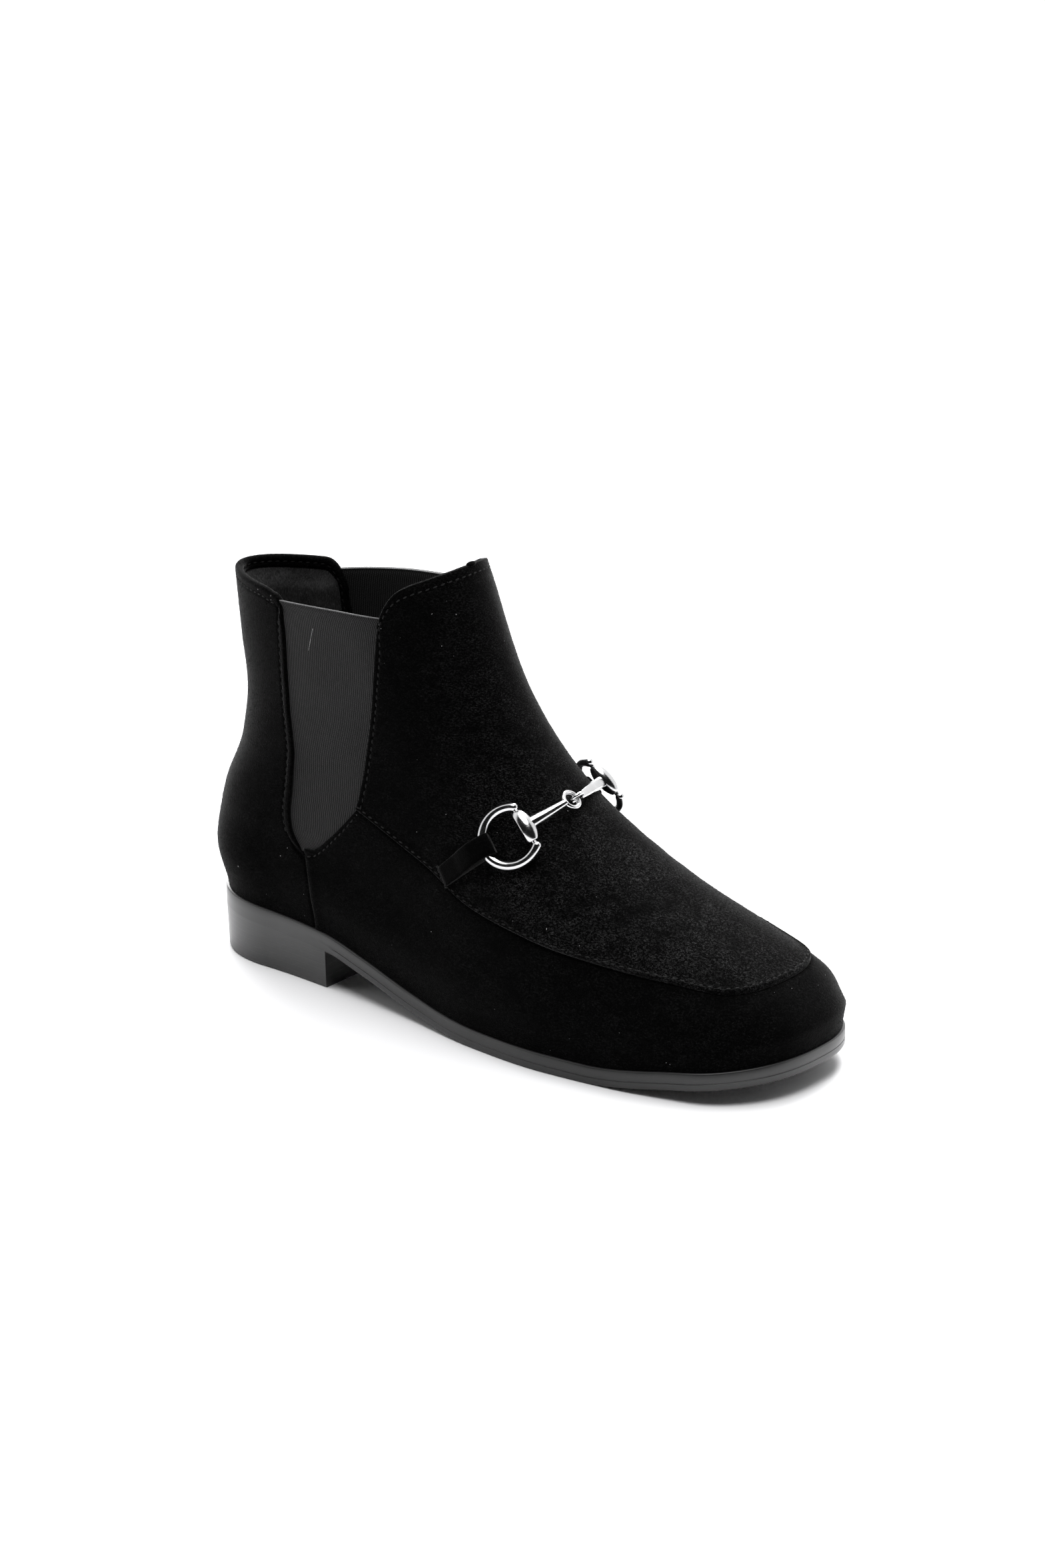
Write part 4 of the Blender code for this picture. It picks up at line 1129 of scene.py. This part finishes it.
class GirthLine:
    """A line over the instep, measured from its ridge down one side to the apron seam."""

    samples = 500
    reach = 50.0

    def __init__(self, side, ahead):
        ridge = FRONT_LINE.at(FRONT_LINE.knot("snaffle") - ahead)
        fall = self.reach * np.linspace(0, 1, self.samples) ** 3
        x = ridge[0] - fall * math.cos(SNAFFLE_FALL)
        z = ridge[1] - fall * math.sin(SNAFFLE_FALL)
        self.points = on_last(x, z, side)
        self.girth = distance_in(self.points)
        self.seam_girth = self.girth[np.argmax(z < read(APRON_SEAM, "x", "z", x))]

    def at(self, girth):
        return interpolated(girth, self.girth, self.points)


class SnaffleLine:
    """The line that a strap and its half of the snaffle follow, with directions beside it."""

    beside = 2.0

    def __init__(self, side, ahead):
        self.side = side
        self.line = GirthLine(side, ahead)
        self.ahead = GirthLine(side, ahead + self.beside)
        self.behind = GirthLine(side, ahead - self.beside)

    def directions(self, girth):
        """Unit vectors down the line, towards the toe and out of the boot."""
        down = Vector(self.line.at(girth + self.beside) - self.line.at(girth - self.beside)).normalized()
        toe = Vector(self.ahead.at(girth) - self.behind.at(girth))
        toe = (toe - down * toe.dot(down)).normalized()
        return down, toe, down.cross(toe) * -self.side

    def above(self, girth, lift):
        return Vector(self.line.at(girth)) + self.directions(girth)[2] * (APRON_STEP + lift)


def add_wire(form, centre, across, along, radius, wire, reach):
    """A round wire bent to an arc of a circle, with balls on its two ends if it is open."""
    axis = across.cross(along)
    start = centre + (across * math.cos(reach) - along * math.sin(reach)) * radius
    tangent = across * math.sin(reach) + along * math.cos(reach)
    matrix = frame_at(start, tangent, axis)
    profile = bmesh.ops.create_circle(form, segments=WIRE_SIDES, radius=wire, matrix=matrix)["verts"]
    edges = {edge for vert in profile for edge in vert.link_edges}
    full = reach == math.pi
    bmesh.ops.spin(
        form,
        geom=list(profile) + list(edges),
        cent=place(centre),
        axis=axis,
        angle=2 * reach,
        steps=WIRE_STEPS,
        use_merge=full,
    )
    for turn in () if full else (-reach, reach):
        end = centre + (across * math.cos(turn) + along * math.sin(turn)) * radius
        matrix = frame_at(end, tangent, axis)
        bmesh.ops.create_uvsphere(form, u_segments=WIRE_SIDES, v_segments=12, radius=wire, matrix=matrix)


def add_rod(form, start, end, radii, out, flatness=1.0):
    bmesh.ops.create_cone(
        form,
        cap_ends=True,
        segments=2 * WIRE_SIDES,
        radius1=radii[0],
        radius2=radii[1],
        depth=(end - start).length,
        matrix=frame_at((start + end) / 2, end - start, out) @ Matrix.Diagonal((flatness, 1.0, 1.0, 1.0)),
    )


def add_barrel(form, cap, toe, out, ring_side):
    """A barrel with cut ends, flat on the side of its ring."""
    verts = bmesh.ops.create_uvsphere(form, u_segments=64, v_segments=40, radius=1.0)["verts"]
    for vert in verts:
        vert.co.z = max(-CAP_END, min(CAP_END, vert.co.z)) / CAP_END
        vert.co.y = ring_side * min(CAP_FLAT, ring_side * vert.co.y)
    barrel = frame_at(cap, toe, out) @ Matrix.Diagonal((*CAP_SIZES, 1.0))
    bmesh.ops.transform(form, matrix=barrel, verts=verts)


def polished_finish():
    """Plated metal: a mirror polish with faint tumbling marks and duller patches."""
    material, tree, shader = new_finish("polished metal", Metallic=1.0)
    where = object_place(tree)
    haze = noise(tree, where, 260.0, 4.0, 0.6)
    tone = blend_colours(tree, haze, grey(0.5), grey(0.68))
    ripple = noise(tree, where, 420.0, 2.0)
    dress(tree, shader, tone, ripple, 0.05, Roughness=remap(tree, haze, 0.3, 0.7, 0.1, 0.22))
    return material


metal = polished_finish()
for side, name in SIDE_NAMES.items():
    line = SnaffleLine(side, CAP_AHEAD[side])
    ridge = SnaffleLine(OUTER, EYE_AHEAD)
    down, toe, out = line.directions(CAP_GIRTH[side])
    cap = line.above(CAP_GIRTH[side], CAP_LIFT[side])
    far = line.above(CAP_GIRTH[side] + RING_OFFSET + RING_RADIUS, LOOP_LIFT)
    across = far - cap
    across = (across - toe * across.dot(toe)).normalized()
    centre = cap + across * RING_OFFSET
    reach = math.pi - math.acos(RING_OFFSET / RING_RADIUS)
    form = bmesh.new()
    add_wire(form, centre, across, toe, RING_RADIUS, RING_WIRE, reach)
    half_gap = toe * (RING_RADIUS * math.sin(reach))
    add_rod(form, cap - half_gap, cap + half_gap, (PIN_RADIUS, PIN_RADIUS), out)
    ring = add_piece("cheek_ring_" + name, closed(form), "polished_metal", metal)
    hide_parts("snaffle_ring_" + name)

    sideways = Vector((0, side, 0))
    _, ridge_toe, ridge_out = ridge.directions(EYE_GIRTH)
    eye = ridge.above(EYE_GIRTH, EYE_LIFT) + sideways * EYE_OFFSET
    form = bmesh.new()
    flat = side == OUTER
    radius, thick = (EYE_RADIUS, EYE_WIRE) if flat else (HOOK_RADIUS, HOOK_WIRE)
    radii = (BAR_TIP, BAR_ROOT) if flat else (PADDLE_TIP, PADDLE_ROOT)
    add_rod(form, eye + sideways * radius, cap, radii, out, 1.0 if flat else PADDLE_FLATNESS)
    add_wire(form, eye, sideways, ridge_toe if flat else ridge_out, radius, thick, math.pi)
    add_barrel(form, cap, toe, out, -side)
    link = add_piece("snaffle_bar_" + name, closed(form), "polished_metal", metal)
    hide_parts("snaffle_link_" + name)


# Straps: two tabs of suede, each folded round its cheek ring and sewn into the apron seam. A bar of
# close zig-zag stitches holds each one down beside the seam.
STRAP_NOSE, STRAP_SEAM_GAP, STRAP_BEHIND = 5.2, 1.6, 1.5
STRAP_STATIONS, STRAP_SIDES, STRAP_CORNER = 60, 40, 6.0
TACK_STITCHES, TACK_WIDTH, TACK_LEAN = 9, 4.2, 0.45
TACK_FROM_SEAM, TACK_LIFT = 2.2, 0.9
STRAP = table(
    "share low high half",
    (-1.0, 1.4, 4.4, 4.1), (-0.84, 0.7, 5.5, 4.2), (-0.4, 0.3, 6.1, 4.2), (0.1, 0.3, 6.1, 4.2),
    (0.3, 0.3, 5.0, 4.2), (0.52, 0.3, 3.3, 4.1), (0.75, 0.1, 2.4, 4.0), (0.9, 0.0, 1.9, 3.9),
    (1.0, -0.2, 0.7, 3.8),
)


def squared(value):
    """A sine or cosine pushed out, so that a circle becomes a box with round corners."""
    return math.copysign(abs(value) ** (2 / STRAP_CORNER), value)


strap_suede = suede_finish("black strap suede", 0.0003, 0.003, 0.003, 0.12)
tacks = bmesh.new()
for side, name in SIDE_NAMES.items():
    line = SnaffleLine(side, CAP_AHEAD[side])
    wire_girth = CAP_GIRTH[side] + RING_OFFSET + RING_RADIUS
    base = line.line.seam_girth - STRAP_SEAM_GAP - wire_girth
    rows = []
    for share in np.linspace(-1, 1, STRAP_STATIONS):
        girth = wire_girth + share * (base if share > 0 else STRAP_NOSE)
        _, strap_toe, strap_out = line.directions(girth)
        middle_point = line.above(girth, 0) - strap_toe * STRAP_BEHIND
        low_face, high_face, half = (read(STRAP, "share", key, share) for key in ("low", "high", "half"))
        row = []
        for turn in np.linspace(0, 2 * math.pi, STRAP_SIDES + 1):
            lift = between(low_face, high_face, (squared(math.sin(turn)) + 1) / 2)
            row.append(middle_point + strap_toe * (squared(math.cos(turn)) * half) + strap_out * lift)
        rows.append(row)
    form = capped(closed(sheet(np.array(rows, float))))
    strap = add_piece("strap_tab_" + name, form, "suede_strap", strap_suede)
    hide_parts("strap_" + name)
    girth = line.line.seam_girth - TACK_FROM_SEAM
    down, strap_toe, strap_out = line.directions(girth)
    centre = line.above(girth, TACK_LIFT) - strap_toe * STRAP_BEHIND
    for k in range(TACK_STITCHES):
        across = between(-TACK_WIDTH, TACK_WIDTH, k / (TACK_STITCHES - 1))
        lean = strap_toe * (TACK_LEAN if k % 2 else -TACK_LEAN)
        add_stitch(tacks, centre + strap_toe * across, down + lean, strap_out)
add_piece("bartacks", closed(tacks), "suede_strap", thread)


# Lint: a few pale specks of dust and fibre caught in the nap, as on any worn or handled suede. They
# are tiny stretched balls, scattered over the three panels from a fixed seed.
LINT_SEED, LINT_COUNT = 11, 90
LINT_SIZES, LINT_SLIMNESS, LINT_STRETCH = (0.06, 0.22), 0.6, (0.8, 2.5)
LINT_MARGIN, LINT_LIFT = 4, 0.05
lint_finish, tree, shader = new_finish("pale lint", Roughness=0.9)
speck_tone = noise(tree, object_place(tree), 900.0)
fill(tree, shader, Base_Color=blend_colours(tree, speck_tone, grey(0.25), grey(0.6)))
random = np.random.default_rng(LINT_SEED)
surfaces = [(cut.points, outward(cut.points)) for cut in (front_cut, skirt_cut, rear_cut)]
form = bmesh.new()
for _ in range(LINT_COUNT):
    points, out = surfaces[random.integers(0, 3)]
    i = random.integers(LINT_MARGIN, points.shape[0] - LINT_MARGIN)
    j = random.integers(LINT_MARGIN, points.shape[1] - LINT_MARGIN)
    size = random.uniform(*LINT_SIZES)
    spot = frame_at(points[i, j] + out[i, j] * LINT_LIFT, random.normal(0, 1, 3), out[i, j])
    slim = size * LINT_SLIMNESS
    stretch = Matrix.Diagonal((slim, slim, size * random.uniform(*LINT_STRETCH), 1.0))
    bmesh.ops.create_icosphere(form, subdivisions=1, radius=1.0, matrix=spot @ stretch)
add_piece("lint", form, "suede", lint_finish)

# One short loose thread on the outer gore, below its selvage.
LOOSE_THREAD = table("x z", (58.7, 139.4), (57.6, 135.2), (56.4, 130.4))
LOOSE_THREAD_RADII = (0.06, 0.03)
ends = on_last(column(LOOSE_THREAD, "x"), column(LOOSE_THREAD, "z"), OUTER)
ends[:, 1] -= OUTER * GORE_INSET
form = bmesh.new()
for start, end in zip(ends, ends[1:]):
    add_rod(form, Vector(start), Vector(end), LOOSE_THREAD_RADII, Vector((0, OUTER, 0)))
add_piece("loose_thread", closed(form), "elastic", lint_finish)


# Stage: a pale studio floor with soft light from a white tent, and the photograph's camera. The tent
# is open and dark on the camera's side, and three soft lamps stand behind the boot and above it. Sizes
# and distances here are in metres, apart from the camera's sensor and the place that it looks at.
CAMERA_AZIMUTH, CAMERA_ELEVATION, CAMERA_DISTANCE = math.radians(38), math.radians(20), 2.0
CAMERA_TARGET = (135.8, 0.0, 88.3)
IMAGE_WIDTH, FOCAL_PIXELS, SENSOR = 1568, 8200, 36.0
FLOOR_SIZE = 30.0
TENT_LIGHT, OPENING_LIGHT = 1.2, 0.01
OPENING_DARK, OPENING_EDGE = math.radians(62), math.radians(82)


def toward(azimuth, elevation):
    """The direction to something that stands round the boot; azimuth 0 is on its outer side."""
    level = math.cos(elevation)
    return Vector((math.sin(azimuth) * level, -math.cos(azimuth) * level, math.sin(elevation)))


TOWARD_CAMERA = toward(CAMERA_AZIMUTH, CAMERA_ELEVATION)

form = bmesh.new()
bmesh.ops.create_grid(form, x_segments=2, y_segments=2, size=FLOOR_SIZE)
floor_mesh = bpy.data.meshes.new("studio_floor")
form.to_mesh(floor_mesh)
form.free()
floor_finish, tree, shader = new_finish("pale floor", Roughness=0.6, Specular_IOR_Level=0.2)
floor_tone = noise(tree, object_place(tree), 3.0, 2.0)
fill(tree, shader, Base_Color=blend_colours(tree, floor_tone, grey(0.93), grey(0.95)))
floor_mesh.materials.append(floor_finish)
floor = in_scene("studio_floor", floor_mesh)

world = bpy.data.worlds.new("white tent")
bpy.context.scene.world = world
world.use_nodes = True
tree = world.node_tree
look = tree.nodes.new("ShaderNodeTexCoord").outputs["Generated"]
view_cosine = tree.nodes.new("ShaderNodeVectorMath")
view_cosine.operation = "DOT_PRODUCT"
feed(tree, view_cosine.inputs[0], look)
feed(tree, view_cosine.inputs[1], TOWARD_CAMERA)
edge, dark = math.cos(OPENING_EDGE), math.cos(OPENING_DARK)
strength = remap(tree, view_cosine.outputs["Value"], edge, dark, TENT_LIGHT, OPENING_LIGHT)
strength.node.interpolation_type = "SMOOTHSTEP"
fill(tree, tree.nodes["Background"], Color=(1.0, 1.0, 1.0, 1.0), Strength=strength)

LIGHTS = table(
    "name azimuth elevation distance size power",
    ("back_left_softbox", -125, 14, 1.6, 1.0, 22.0),
    ("back_softbox", 200, 50, 1.6, 1.0, 30.0),
    ("top_softbox", 38, 84, 1.6, 1.4, 29.0),
)
target = Vector(place(CAMERA_TARGET))
for row in LIGHTS:
    lamp = bpy.data.lights.new(row.name, "AREA")
    lamp.shape = "DISK"
    lamp.size = row.size
    lamp.energy = row.power
    direction = toward(math.radians(row.azimuth), math.radians(row.elevation))
    holder = in_scene(row.name, lamp)
    holder.location = target + direction * row.distance
    holder.rotation_euler = direction.to_track_quat("Z", "Y").to_euler()

camera_data = bpy.data.cameras.new("camera")
camera_data.sensor_fit = "HORIZONTAL"
camera_data.sensor_width = SENSOR
camera_data.lens = FOCAL_PIXELS / IMAGE_WIDTH * SENSOR
camera = in_scene("camera", camera_data)
camera.location = target + TOWARD_CAMERA * CAMERA_DISTANCE
camera.rotation_euler = TOWARD_CAMERA.to_track_quat("Z", "Y").to_euler()
bpy.context.scene.camera = camera
bpy.context.scene.view_settings.view_transform = "Standard"
